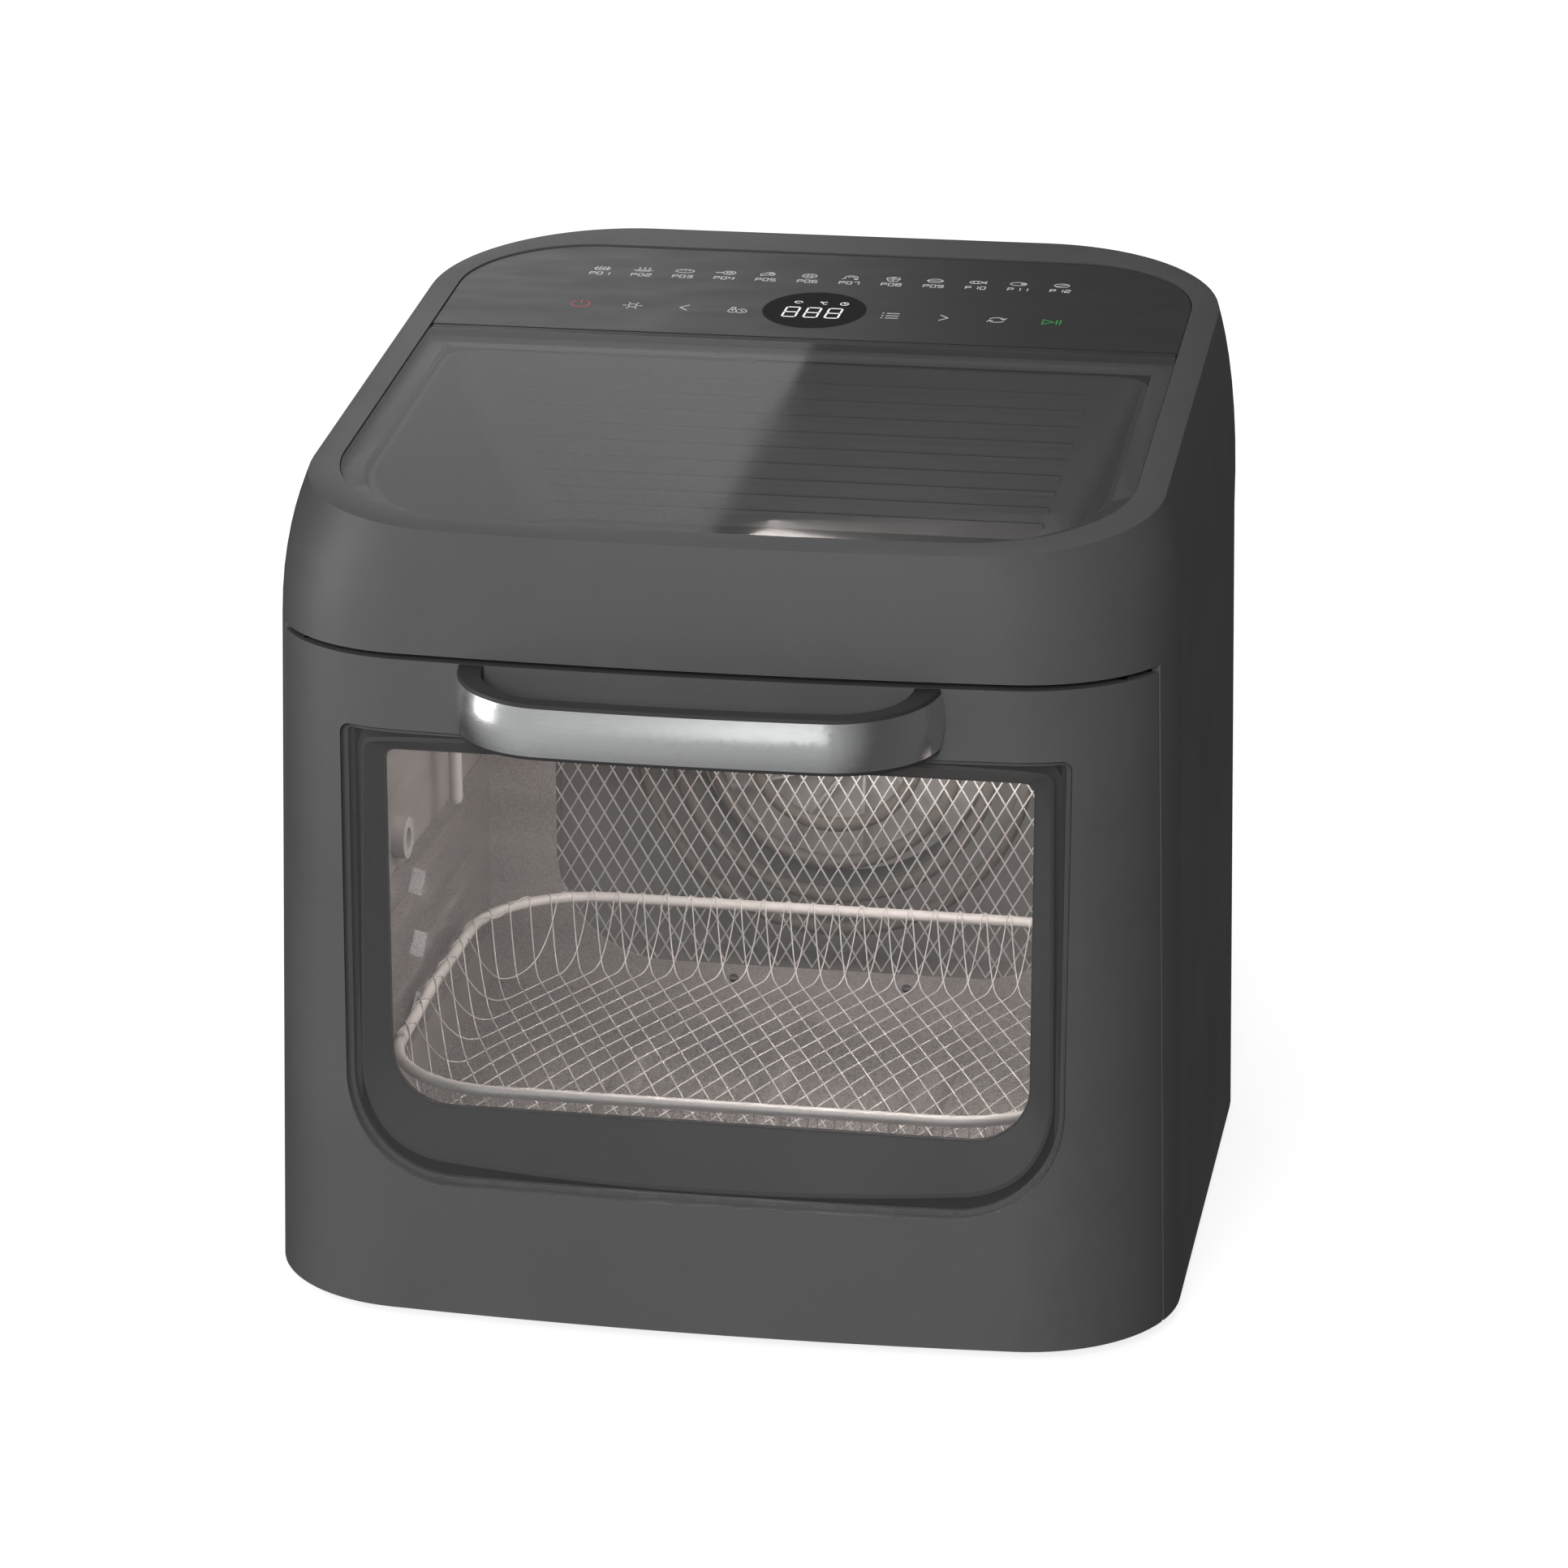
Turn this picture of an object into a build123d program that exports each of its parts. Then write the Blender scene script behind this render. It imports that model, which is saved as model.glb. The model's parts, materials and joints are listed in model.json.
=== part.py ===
from build123d import *
import os
from math import cos, radians, sin, tan

os.makedirs("parts", exist_ok=True)

# Countertop rotisserie oven.  Row frame: X to the user's right, Y to the rear, Z up.
# Z = 0 is the table, X = 0 the middle, Y = 0 half way from handle to rear spacers.

# ---------------------------------------------------------------- driving dimensions (mm)
FRONT_Y = -159.0            # foremost point of the bowed front at the bottom edge
REAR_Y = 184.0              # flat rear wall
BASE_Z = 6.0                # bottom edge of the housing, the height of the feet
SEAM_Z = 257.2              # lower edge of the fixed front above the door
BASE_HALF = 170.4           # half width at the bottom edge
SEAM_HALF = 165.0           # half width at the seam: the sides lean in
SEAM_LEAN = 4.6             # how far the front leans back at the seam
BOW_R = 1520.0              # radius of the bowed front in plan
FRONT_R = 59.0              # front corner radius in plan
REAR_R = 83.0               # rear corner radius in plan
WALL = 2.8                  # moulded wall of housing and door

TILT = 7.1                  # slope of the top, rising to the rear (degrees)
PANEL_Z = 320.0             # height of the sloping top plane at Y = 0
PANEL_HALF = 145.5
PANEL_FRONT = -138.0
PANEL_REAR = 156.0
PANEL_BOW = 2500.0
PANEL_FRONT_R = 60.0
PANEL_REAR_R = 50.0
SPLIT_Y = 57.5              # line between skylight and control panel
DIVIDER_W = 5.0
DECK = 5.6                  # depth of the top deck under the top plane
RIM_H = 0.9                 # low rolled rim round the top panels
RIM_ROLL = 5.0              # how far the rim rolls inwards from the crease
PANE = 3.0                  # glass thickness
SHY = 0.4                   # gap round a pane

DOOR_TOP = 255.0
DOOR_EDGE_Y = -118.0        # rear edge of the door's wrapped corners
DOOR_SIDE_GAP = 1.3
WINDOW_HALF = 132.3
WINDOW_LOW = 56.0
WINDOW_HIGH = 229.0
WINDOW_LOW_R = 40.0
WINDOW_HIGH_R = 4.0
CLEAR_HALF = 118.0          # the part of the window that is seen through
CLEAR_LOW = 80.0
CLEAR_HIGH = 217.0
CLEAR_LOW_R = 22.0
LEDGE = 2.3                 # ledge that carries the outer pane
HINGE_Y = -148.0
HINGE_Z = 13.5
HINGE_X = 85.0
PIN_R = 2.5
EYE_R = 4.7
RUNNING = 0.06              # radial clearance of a turning fit

FRAME_Y = -127.0            # front face of the fixed frame that the door closes on
CAVITY_HALF = 138.0
CAVITY_REAR = 109.0
FLOOR_Z = 37.0
CEILING_Z = 249.0
SHEET = 1.0

FAN_X = 4.0
FAN_Z = 146.0
SHAFT_R = 3.0
SPIT_Y = -46.0
SPIT_Z = 152.0

HANDLE_FRONT = -190.0
HANDLE_HALF = 88.2
HANDLE_LOW = 232.0
HANDLE_HIGH = 252.0
HANDLE_BOW = 3.5            # how far the front falls back towards the ends
HANDLE_CORNER_R = 40.0
HANDLE_INNER_R = 27.0
HANDLE_BARREL = 1.9         # how far the sides draw in at the top and bottom edges
HANDLE_THICK = 7.5          # at the front of the loop
HANDLE_END = 11.0           # at the ends of the loop
LIP = 1.3                   # dark lip above and below the bright band
TRIM = 1.2                  # thickness of the bright band
HANDLE_TILT = 4.5           # how far the top of the loop rises towards the door (degrees)
SCREW_X = 80.8
HANDLE_SCREW_Z = 242.0

RIB_LEVELS = (129.5, 104.0, 78.5)
RIM_WIRE_R = 2.25
BASKET_HALF = 133.0
BASKET_FRONT = -122.0
BASKET_REAR = 93.0
BASKET_R = 48.0
BASKET_DEPTH = 28.0

slope = radians(TILT)


def top_z(y, lift=0.0):
    """Height of the sloping top plane over y, moved by lift along its normal."""
    return PANEL_Z + y * tan(slope) + lift / cos(slope)


def sloped(lift=0.0):
    """The top plane, moved by lift along its normal."""
    level = Plane(origin=(0, 0, PANEL_Z), x_dir=(1, 0, 0), z_dir=(0, -sin(slope), cos(slope)))
    return level.offset(lift)


def along(y, lift=0.0):
    """In-plane distance on the sloped plane of the line over y."""
    return y / cos(slope) + lift * tan(slope)


def outline(half, front, rear, r_front, r_rear, bow, grow=0.0):
    """Plan outline with a bowed front and four round corners, grown by grow."""
    w, f, r = half + grow, front - grow, rear + grow
    side = f + w * w / (2 * bow)
    with BuildLine() as edge:
        ThreePointArc((-w, side), (0, f), (w, side))
        Polyline((w, side), (w, r), (-w, r), (-w, side))
    make_face(edge.edges())
    fillet(vertices().group_by(Axis.Y)[-1], radius=r_rear + grow)
    fillet(vertices().group_by(Axis.Y)[0], radius=r_front + grow)


def lower_form(inset=0.0, drop=0.0):
    """Housing form from the bottom edge to the seam, inset all round."""
    with BuildSketch(Plane.XY.offset(BASE_Z - drop)) as foot:
        outline(BASE_HALF, FRONT_Y, REAR_Y, FRONT_R, REAR_R, BOW_R, -inset)
    with BuildSketch(Plane.XY.offset(SEAM_Z)) as seam:
        outline(SEAM_HALF, FRONT_Y + SEAM_LEAN, REAR_Y, FRONT_R, REAR_R, BOW_R, -inset)
    loft([foot.sketch, seam.sketch], ruled=True)


CAP_STEPS = (0.0, 0.18, 0.34, 0.48, 0.61, 0.73, 0.84, 0.93, 1.0)
CREASE_HALF = 156.5
CREASE_FRONT = -149.5
CREASE_REAR = 180.0


def cap_outline(t, grow):
    """Plan of the pillowed cap: t runs from 0 at the seam to 1 at the crease under the rim."""
    half = SEAM_HALF + (CREASE_HALF - SEAM_HALF) * t ** 2.4
    front = FRONT_Y + SEAM_LEAN + (CREASE_FRONT - FRONT_Y - SEAM_LEAN) * t ** 2
    rear = REAR_Y + (CREASE_REAR - REAR_Y) * t ** 6
    lean = cos(slope * t)
    outline(half, front / lean, rear / lean, FRONT_R + 7 * t, REAR_R - 7 * t, BOW_R, grow)


def crease(grow):
    """Plan of the crease, where the cap turns over into the rim."""
    cap_outline(1.0, grow)


def upper_form(inset=0.0, deck=0.0):
    """Pillowed cap from the seam up to the crease under the rim."""
    rings = []
    for t in CAP_STEPS:
        tip = slope * t
        height = SEAM_Z + (PANEL_Z - deck / cos(slope) - SEAM_Z) * t
        level = Plane(origin=(0, 0, height), x_dir=(1, 0, 0), z_dir=(0, -sin(tip), cos(tip)))
        with BuildSketch(level) as ring:
            cap_outline(t, -inset)
        rings.append(ring.sketch)
    loft(rings, ruled=True)


def panel_outline(grow=0.0):
    """Outline of the two top panes together, in the sloped plane."""
    front, rear = along(PANEL_FRONT), along(PANEL_REAR)
    outline(PANEL_HALF, front, rear, PANEL_FRONT_R, PANEL_REAR_R, PANEL_BOW, grow)


def window_outline(half, low, high, r_low, r_high):
    """Window shape on an XZ plane: upright sides, round lower corners."""
    with Locations((0, (low + high) / 2)):
        Rectangle(2 * half, high - low)
    fillet(vertices().group_by(Axis.Y)[0], radius=r_low)
    fillet(vertices().group_by(Axis.Y)[-1], radius=r_high)


def window_prism(grow, mode=Mode.ADD):
    """Window shape, grown by grow, extruded forwards through the door skin."""
    back, front = -120.0, -175.0
    low_r, high_r = WINDOW_LOW_R + grow, max(WINDOW_HIGH_R + grow, 1.5)
    with BuildSketch(Plane.XZ.offset(-back)) as window:
        window_outline(WINDOW_HALF + grow, WINDOW_LOW - grow, WINDOW_HIGH + grow, low_r, high_r)
    extrude(window.sketch, amount=back - front, mode=mode)


def slab(x0, x1, y0, y1, z0, z1, mode=Mode.ADD):
    """Box between two corners."""
    with Locations(((x0 + x1) / 2, (y0 + y1) / 2, (z0 + z1) / 2)):
        Box(abs(x1 - x0), abs(y1 - y0), abs(z1 - z0), mode=mode)


def rod_y(x, z, radius, y0, y1, mode=Mode.ADD):
    """Round bar along Y."""
    with Locations((x, (y0 + y1) / 2, z)):
        Cylinder(radius, abs(y1 - y0), rotation=(90, 0, 0), mode=mode)


def rod_x(y, z, radius, x0, x1, mode=Mode.ADD):
    """Round bar along X."""
    with Locations(((x0 + x1) / 2, y, z)):
        Cylinder(radius, abs(x1 - x0), rotation=(0, 90, 0), mode=mode)


def rod_z(x, y, radius, z0, z1, mode=Mode.ADD):
    """Upright round bar."""
    with Locations((x, y, (z0 + z1) / 2)):
        Cylinder(radius, abs(z1 - z0), mode=mode)


def save(builder, name):
    builder.part.label = name
    export_step(builder.part, f"parts/{name}.step")


# ---------------------------------------------------------------- shared forms
with BuildPart() as outer_lower:
    lower_form()
with BuildPart() as inner_lower:
    lower_form(WALL, drop=10)
with BuildPart() as pocket_floor:
    lower_form(PANE + SHY, drop=10)
with BuildPart() as pane_face:
    lower_form(0.3, drop=10)
with BuildPart() as ledge_back:
    lower_form(PANE + SHY + LEDGE, drop=10)
with BuildPart() as ledge_clear:
    lower_form(PANE + SHY + LEDGE + 0.2, drop=10)
with BuildPart() as frame_limit:
    lower_form(WALL + 0.4, drop=10)

# ---------------------------------------------------------------- housing
PANE_BOTTOM = -PANE + 0.4   # the panes stand 0.4 proud of the top plane
PANE_SEAT = 8.0             # width of the deck's ledge under the panes
DIVIDER_BRIDGE = 14.0       # width of the deck left under the divider
SERVICE_HALF, SERVICE_LOW, SERVICE_HIGH = 74.0, 52.0, 282.0
with BuildPart() as housing_hollow:
    lower_form(WALL, drop=10)
    upper_form(WALL, DECK)
with BuildPart() as outer_housing:
    lower_form()
    upper_form()
    with BuildSketch(sloped()):
        crease(0)
    with BuildSketch(sloped(RIM_H)):
        crease(-RIM_ROLL)
    loft(ruled=True)
    add(housing_hollow.part, mode=Mode.SUBTRACT)
    with BuildSketch(sloped(PANE_BOTTOM)):
        panel_outline(SHY)
    extrude(amount=10, mode=Mode.SUBTRACT)
    with BuildSketch(sloped(PANE_BOTTOM)):
        panel_outline(-PANE_SEAT)
        with Locations((0, along(SPLIT_Y))):
            Rectangle(2 * BASE_HALF, DIVIDER_BRIDGE, mode=Mode.SUBTRACT)
    extrude(amount=-DECK, mode=Mode.SUBTRACT)
    slab(-200, 200, -260, DOOR_EDGE_Y + DOOR_SIDE_GAP, 0, SEAM_Z, mode=Mode.SUBTRACT)
    slab(-SERVICE_HALF, SERVICE_HALF, 170, 200, SERVICE_LOW, SERVICE_HIGH, mode=Mode.SUBTRACT)
save(outer_housing, "outer_housing")

COVER_HALF = 80.0
COVER_LOW, COVER_HIGH = 46.0, 288.0
COVER_T = 2.0
GLAND_X, GLAND_Z = -52.0, 66.0
with BuildPart() as rear_cover:
    with BuildSketch(Plane.XZ.offset(-REAR_Y)):
        with Locations((0, (COVER_LOW + COVER_HIGH) / 2)):
            RectangleRounded(2 * COVER_HALF, COVER_HIGH - COVER_LOW, 8)
        with Locations((0, 232)):
            with GridLocations(0, 9, 1, 8):
                SlotOverall(110, 4, mode=Mode.SUBTRACT)
        with Locations((0, FAN_Z)):
            with PolarLocations(30, 12):
                SlotOverall(22, 4, mode=Mode.SUBTRACT)
        with GridLocations(2 * COVER_HALF - 12, 0, 2, 1):
            with Locations((0, COVER_LOW + 6), (0, COVER_HIGH - 6)):
                Circle(1.6, mode=Mode.SUBTRACT)
    extrude(amount=-COVER_T)
    rod_y(GLAND_X, GLAND_Z, 7.0, REAR_Y - 1, REAR_Y + 5, mode=Mode.SUBTRACT)
save(rear_cover, "rear_cover")

SPACER_TIP = 190.0
with BuildPart() as rear_spacers:
    for x in (-62, 62):
        rod_y(x, 185, 8, REAR_Y + COVER_T, SPACER_TIP)
save(rear_spacers, "rear_spacers")

with BuildPart() as cord_gland:
    rod_y(GLAND_X, GLAND_Z, 6.8, REAR_Y - 5, REAR_Y + COVER_T)
    rod_y(GLAND_X, GLAND_Z, 9.5, REAR_Y + COVER_T, REAR_Y + COVER_T + 3.5)
    rod_y(GLAND_X, GLAND_Z, 3.6, REAR_Y - 10, REAR_Y + 10, mode=Mode.SUBTRACT)
save(cord_gland, "cord_gland")

with BuildPart() as cover_screws:
    for x in (-COVER_HALF + 6, COVER_HALF - 6):
        for z in (COVER_LOW + 6, COVER_HIGH - 6):
            rod_y(x, z, 1.6, REAR_Y, REAR_Y + COVER_T)
            rod_y(x, z, 3.4, REAR_Y + COVER_T, REAR_Y + COVER_T + 1.8)
save(cover_screws, "cover_screws")

PAN_LOW, PAN_TOP = 8.0, 10.0
with BuildPart() as base_pan:
    with BuildSketch(Plane.XY.offset(PAN_LOW)):
        outline(BASE_HALF, FRONT_Y, REAR_Y, FRONT_R, REAR_R, BOW_R, -WALL - 0.4)
        with Locations((0, -200)):
            Rectangle(400, 172, mode=Mode.SUBTRACT)
        with Locations((0, 20)):
            with GridLocations(0, 12, 1, 9):
                SlotOverall(120, 4, mode=Mode.SUBTRACT)
    extrude(amount=PAN_TOP - PAN_LOW)
save(base_pan, "base_pan")

with BuildPart() as rubber_feet:
    for x, y in ((-132, -92), (132, -92), (-118, 140), (118, 140)):
        rod_z(x, y, 11, 0.0, PAN_LOW)
    chamfer(edges().group_by(Axis.Z)[0], length=1.5)
save(rubber_feet, "rubber_feet")

# ---------------------------------------------------------------- top panels
with BuildPart() as skylight_glass:
    with BuildSketch(sloped(PANE_BOTTOM)):
        panel_outline()
        with Locations((0, along(SPLIT_Y - DIVIDER_W / 2) + 150)):
            Rectangle(400, 300, mode=Mode.SUBTRACT)
    extrude(amount=PANE)
save(skylight_glass, "skylight_glass")

with BuildPart() as control_panel_glass:
    with BuildSketch(sloped(PANE_BOTTOM)):
        panel_outline()
        with Locations((0, along(SPLIT_Y + DIVIDER_W / 2) - 200)):
            Rectangle(400, 400, mode=Mode.SUBTRACT)
    extrude(amount=PANE)
save(control_panel_glass, "control_panel_glass")

with BuildPart() as panel_divider:
    with BuildSketch(sloped(PANE_BOTTOM)):
        with Locations((0, along(SPLIT_Y))):
            Rectangle(2 * PANEL_HALF - 1, DIVIDER_W - 0.4)
    extrude(amount=PANE - 0.2)
save(panel_divider, "panel_divider")

WELL_REAR = 55.0
WELL_FRONT = -126.0
WELL_BASE_Z = 253.2
WELL_TOP_HALF, WELL_BASE_HALF = 135.0, 108.0
WELL_T = 1.6
WELL_RIBS = 9


def well_form(grow, bottom, lift):
    """Funnel from the deck down to the ceiling pane, straight at the rear."""
    with BuildSketch(Plane.XY.offset(bottom)) as mouth:
        outline(WELL_BASE_HALF, -100, WELL_REAR - 1, 30, 18, 4 * BOW_R, grow)
    with BuildSketch(sloped(-DECK - 0.2 + lift)) as brim:
        outline(WELL_TOP_HALF, along(WELL_FRONT), along(WELL_REAR - 8), 52, 10, PANEL_BOW, grow)
    loft([mouth.sketch, brim.sketch], ruled=True)


with BuildPart() as well_hollow:
    well_form(0, WELL_BASE_Z - 1, 1)
with BuildPart() as skylight_well:
    well_form(WELL_T, WELL_BASE_Z, 0)
    add(well_hollow.part, mode=Mode.SUBTRACT)
    for i in range(WELL_RIBS):
        rib_z = WELL_BASE_Z + 6 + 6.6 * i
        rib_y = WELL_REAR - 1 - 5.8 * (rib_z - WELL_BASE_Z) / (top_z(WELL_REAR) - DECK - WELL_BASE_Z)
        slab(-96 - 2.2 * i, 96 + 2.2 * i, rib_y - 1.2, rib_y + 0.8, rib_z - 1.0, rib_z + 1.0)
save(skylight_well, "skylight_well")

with BuildPart() as skylight_inner_glass:
    with BuildSketch(Plane.XY.offset(CEILING_Z + SHEET)):
        outline(WELL_BASE_HALF + 6, -108, WELL_REAR + 5, 34, 22, 4 * BOW_R)
    extrude(amount=WELL_BASE_Z - CEILING_Z - SHEET)
save(skylight_inner_glass, "skylight_inner_glass")

BOARD_LIFT = -17.0
BOARD_Y = 105.0
POST_PITCH_X, POST_PITCH_Y = 200.0, 70.0
with BuildPart() as control_board:
    with BuildSketch(sloped(BOARD_LIFT)):
        with Locations((0, along(BOARD_Y))):
            Rectangle(216, 84)
            with GridLocations(POST_PITCH_X, POST_PITCH_Y, 2, 2):
                Circle(1.8, mode=Mode.SUBTRACT)
    extrude(amount=-1.6)
    with BuildSketch(sloped(BOARD_LIFT - 1.6)):
        with Locations((-60, along(100)), (50, along(112)), (82, along(96))):
            Rectangle(22, 16)
    extrude(amount=-7)
save(control_board, "control_board")

with BuildPart() as board_posts:
    with BuildSketch(sloped(BOARD_LIFT)):
        with Locations((0, along(BOARD_Y))):
            with GridLocations(POST_PITCH_X, POST_PITCH_Y, 2, 2):
                Circle(3.2)
    extrude(amount=-BOARD_LIFT - DECK)
save(board_posts, "board_posts")

DISPLAY_Y = 91.0
with BuildPart() as display_module:
    with BuildSketch(sloped(BOARD_LIFT)):
        with Locations((0, along(DISPLAY_Y))):
            Circle(24)
    extrude(amount=-BOARD_LIFT + PANE_BOTTOM - 0.2)
save(display_module, "display_module")

KEY_PITCH = 16.8            # program keys along the rear row
LOWER_PITCH = 20.8          # keys of the front row, four on each side of the display
SPRING_R, SPRING_BORE = 3.0, 2.2
with BuildPart() as touch_springs:
    with BuildSketch(sloped(BOARD_LIFT)):
        with Locations((0, along(126))):
            with GridLocations(KEY_PITCH, 0, 12, 1):
                Circle(SPRING_R)
                Circle(SPRING_BORE, mode=Mode.SUBTRACT)
        with Locations((-61.8, along(88.5)), (61.8, along(88.5))):
            with GridLocations(LOWER_PITCH, 0, 4, 1):
                Circle(SPRING_R)
                Circle(SPRING_BORE, mode=Mode.SUBTRACT)
    extrude(amount=-BOARD_LIFT + PANE_BOTTOM)
save(touch_springs, "touch_springs")

# ---------------------------------------------------------------- cooking chamber
LIGHT_HALF = 104.0
LAMP_Y, LAMP_Z = 60.0, 205.0
WRAP_HALF = CAVITY_HALF + SHEET
with BuildPart() as cavity_wrap:
    slab(-WRAP_HALF, WRAP_HALF, FRAME_Y + 1.5, CAVITY_REAR, FLOOR_Z - SHEET, CEILING_Z + SHEET)
    slab(-CAVITY_HALF, CAVITY_HALF, FRAME_Y, CAVITY_REAR + 1, FLOOR_Z - 5, CEILING_Z, mode=Mode.SUBTRACT)
    with BuildSketch(Plane.XY.offset(CEILING_Z - 1)):
        outline(LIGHT_HALF, -96, WELL_REAR - 4, 26, 15, 4 * BOW_R)
    extrude(amount=4, mode=Mode.SUBTRACT)
    rod_x(SPIT_Y, SPIT_Z, 6, -150, 150, mode=Mode.SUBTRACT)
    rod_x(LAMP_Y, LAMP_Z, 17, -150, -130, mode=Mode.SUBTRACT)
save(cavity_wrap, "cavity_wrap")

BEAD_X = 58.5               # pitch of the pressed beads that stiffen the floor
BEAD_R = 10.5
BEAD_Z = FLOOR_Z - 5.5
BEAD_FRONT, BEAD_REAR = -108.0, 74.0
with BuildPart() as cavity_floor:
    slab(-CAVITY_HALF, CAVITY_HALF, FRAME_Y + 1.5, CAVITY_REAR, FLOOR_Z - SHEET, FLOOR_Z)
    for radius, mode in ((BEAD_R, Mode.ADD), (BEAD_R - SHEET, Mode.SUBTRACT)):
        for x in (-BEAD_X, 0, BEAD_X):
            rod_y(x, BEAD_Z, radius, BEAD_FRONT, BEAD_REAR, mode)
            with Locations((x, BEAD_FRONT, BEAD_Z), (x, BEAD_REAR, BEAD_Z)):
                Sphere(radius, mode=mode)
    slab(-150, 150, -150, 150, 0, FLOOR_Z - SHEET, mode=Mode.SUBTRACT)
save(cavity_floor, "cavity_floor")

GRILLE_HALF, GRILLE_LOW, GRILLE_HIGH, GRILLE_R = 110.0, 51.0, 238.0, 46.0
GRILLE_MID = (GRILLE_LOW + GRILLE_HIGH) / 2


def grille_outline(grow, mode=Mode.ADD):
    """Round-cornered opening of the rear wall, grown by grow."""
    width, height = 2 * (GRILLE_HALF + grow), GRILLE_HIGH - GRILLE_LOW + 2 * grow
    with Locations((0, GRILLE_MID)):
        RectangleRounded(width, height, GRILLE_R + grow, mode=mode)


with BuildPart() as cavity_rear_wall:
    with BuildSketch(Plane.XZ.offset(-CAVITY_REAR)):
        with Locations((0, (FLOOR_Z + CEILING_Z) / 2)):
            Rectangle(2 * WRAP_HALF, CEILING_Z - FLOOR_Z + 2 * SHEET)
        grille_outline(0, Mode.SUBTRACT)
        with Locations((-101, 72), (101, 72), (-36, 45), (36, 45)):
            Circle(2.2, mode=Mode.SUBTRACT)
    extrude(amount=-SHEET)
save(cavity_rear_wall, "cavity_rear_wall")

GUARD_Y = CAVITY_REAR + SHEET
GUARD_T = 0.8
DIAMOND_W, DIAMOND_H = 14.4, 24.8
with BuildSketch() as guard_openings:
    for shift in (0, 0.5):
        with Locations((shift * DIAMOND_W, shift * DIAMOND_H)):
            with GridLocations(DIAMOND_W, DIAMOND_H, 15, 7):
                Polygon((-6.2, 0), (0, -10.8), (6.2, 0), (0, 10.8), align=None)
    RectangleRounded(2 * GRILLE_HALF - 4, GRILLE_HIGH - GRILLE_LOW - 4, GRILLE_R - 2, mode=Mode.INTERSECT)
with BuildPart() as fan_guard:
    with BuildSketch(Plane.XZ.offset(-GUARD_Y)):
        grille_outline(6)
        with Locations((0, GRILLE_MID)):
            add(guard_openings.sketch, mode=Mode.SUBTRACT)
    extrude(amount=-GUARD_T)
save(fan_guard, "fan_guard")

CHAMBER_REAR = 150.0
CLAMP_X, CLAMP_Z = 12.0, 234.0   # where the element's legs pass the chamber
with BuildPart() as fan_chamber:
    with BuildSketch(Plane.XZ.offset(-GUARD_Y - GUARD_T)):
        grille_outline(6 + SHEET)
    extrude(amount=-(CHAMBER_REAR - GUARD_Y - GUARD_T))
    with BuildSketch(Plane.XZ.offset(-GUARD_Y + 1)):
        grille_outline(6)
    extrude(amount=-(CHAMBER_REAR - GUARD_Y), mode=Mode.SUBTRACT)
    rod_y(FAN_X, FAN_Z, 5, 140, 160, mode=Mode.SUBTRACT)
    for x in (-CLAMP_X, CLAMP_X):
        rod_y(FAN_X + x, CLAMP_Z, 3.2, 140, 160, mode=Mode.SUBTRACT)
save(fan_chamber, "fan_chamber")

ELEMENT_Y = 119.0
ELEMENT_TUBE = 3.0
ELEMENT_RINGS = (35.0, 51.0, 65.5, 80.0)
with BuildPart() as heating_element:
    with BuildSketch(Plane.XY.offset(FAN_Z)):
        for ring in ELEMENT_RINGS:
            with Locations((FAN_X + ring, ELEMENT_Y)):
                Circle(ELEMENT_TUBE)
    revolve(axis=Axis((FAN_X, ELEMENT_Y, FAN_Z), (0, 1, 0)))
    for x in (-CLAMP_X, CLAMP_X):
        slab(FAN_X + x - 2.2, FAN_X + x + 2.2, ELEMENT_Y - 2.2, ELEMENT_Y + 2.2, FAN_Z + 31, CLAMP_Z + 3)
        rod_y(FAN_X + x, CLAMP_Z, 2.8, ELEMENT_Y, 158)
save(heating_element, "heating_element")

with BuildPart() as element_brackets:
    behind = ELEMENT_Y + ELEMENT_TUBE
    for x in (FAN_X - 72, FAN_X + 72):
        slab(x - 1, x + 1, behind, CHAMBER_REAR - SHEET, FAN_Z - 5, FAN_Z + 5)
        slab(x - 12, x + 12, behind, behind + 1, FAN_Z - 5, FAN_Z + 5)
save(element_brackets, "element_brackets")

with BuildPart() as convection_fan:
    rod_y(FAN_X, FAN_Z, 62, 142, 143)
    rod_y(FAN_X, FAN_Z, 12, 128, 142)
    for i in range(10):
        blade = Box(46, 14, 1.2, rotation=(0, 20, 0), mode=Mode.PRIVATE).moved(Location((34, 0, 0)))
        blade = blade.rotate(Axis.Y, 36 * i)
        add(blade.moved(Location((FAN_X, 135, FAN_Z))))
    rod_y(FAN_X, FAN_Z, SHAFT_R, 120, 160, mode=Mode.SUBTRACT)
save(convection_fan, "convection_fan")

with BuildPart() as fan_shaft:
    rod_y(FAN_X, FAN_Z, SHAFT_R, 128, 179)
save(fan_shaft, "fan_shaft")

with BuildPart() as cooling_fan:
    rod_y(FAN_X, FAN_Z, 9, 152, 158.5)
    for i in range(9):
        vane = Box(28, 5, 1.0, rotation=(35, 0, 0), mode=Mode.PRIVATE).moved(Location((21, 0, 0)))
        vane = vane.rotate(Axis.Y, 40 * i)
        add(vane.moved(Location((FAN_X, 155.2, FAN_Z))))
    rod_y(FAN_X, FAN_Z, SHAFT_R, 140, 170, mode=Mode.SUBTRACT)
save(cooling_fan, "cooling_fan")

with BuildPart() as fan_motor:
    slab(FAN_X - 30, FAN_X + 30, 164, 178, FAN_Z - 30, FAN_Z + 24)
    rod_y(FAN_X, FAN_Z, 16, 161.5, 164)
    slab(FAN_X - 15, FAN_X + 15, 161.8, 180, FAN_Z - 28, FAN_Z - 18)
    rod_y(FAN_X, FAN_Z, SHAFT_R + RUNNING, 150, 185, mode=Mode.SUBTRACT)
save(fan_motor, "fan_motor")

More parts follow.
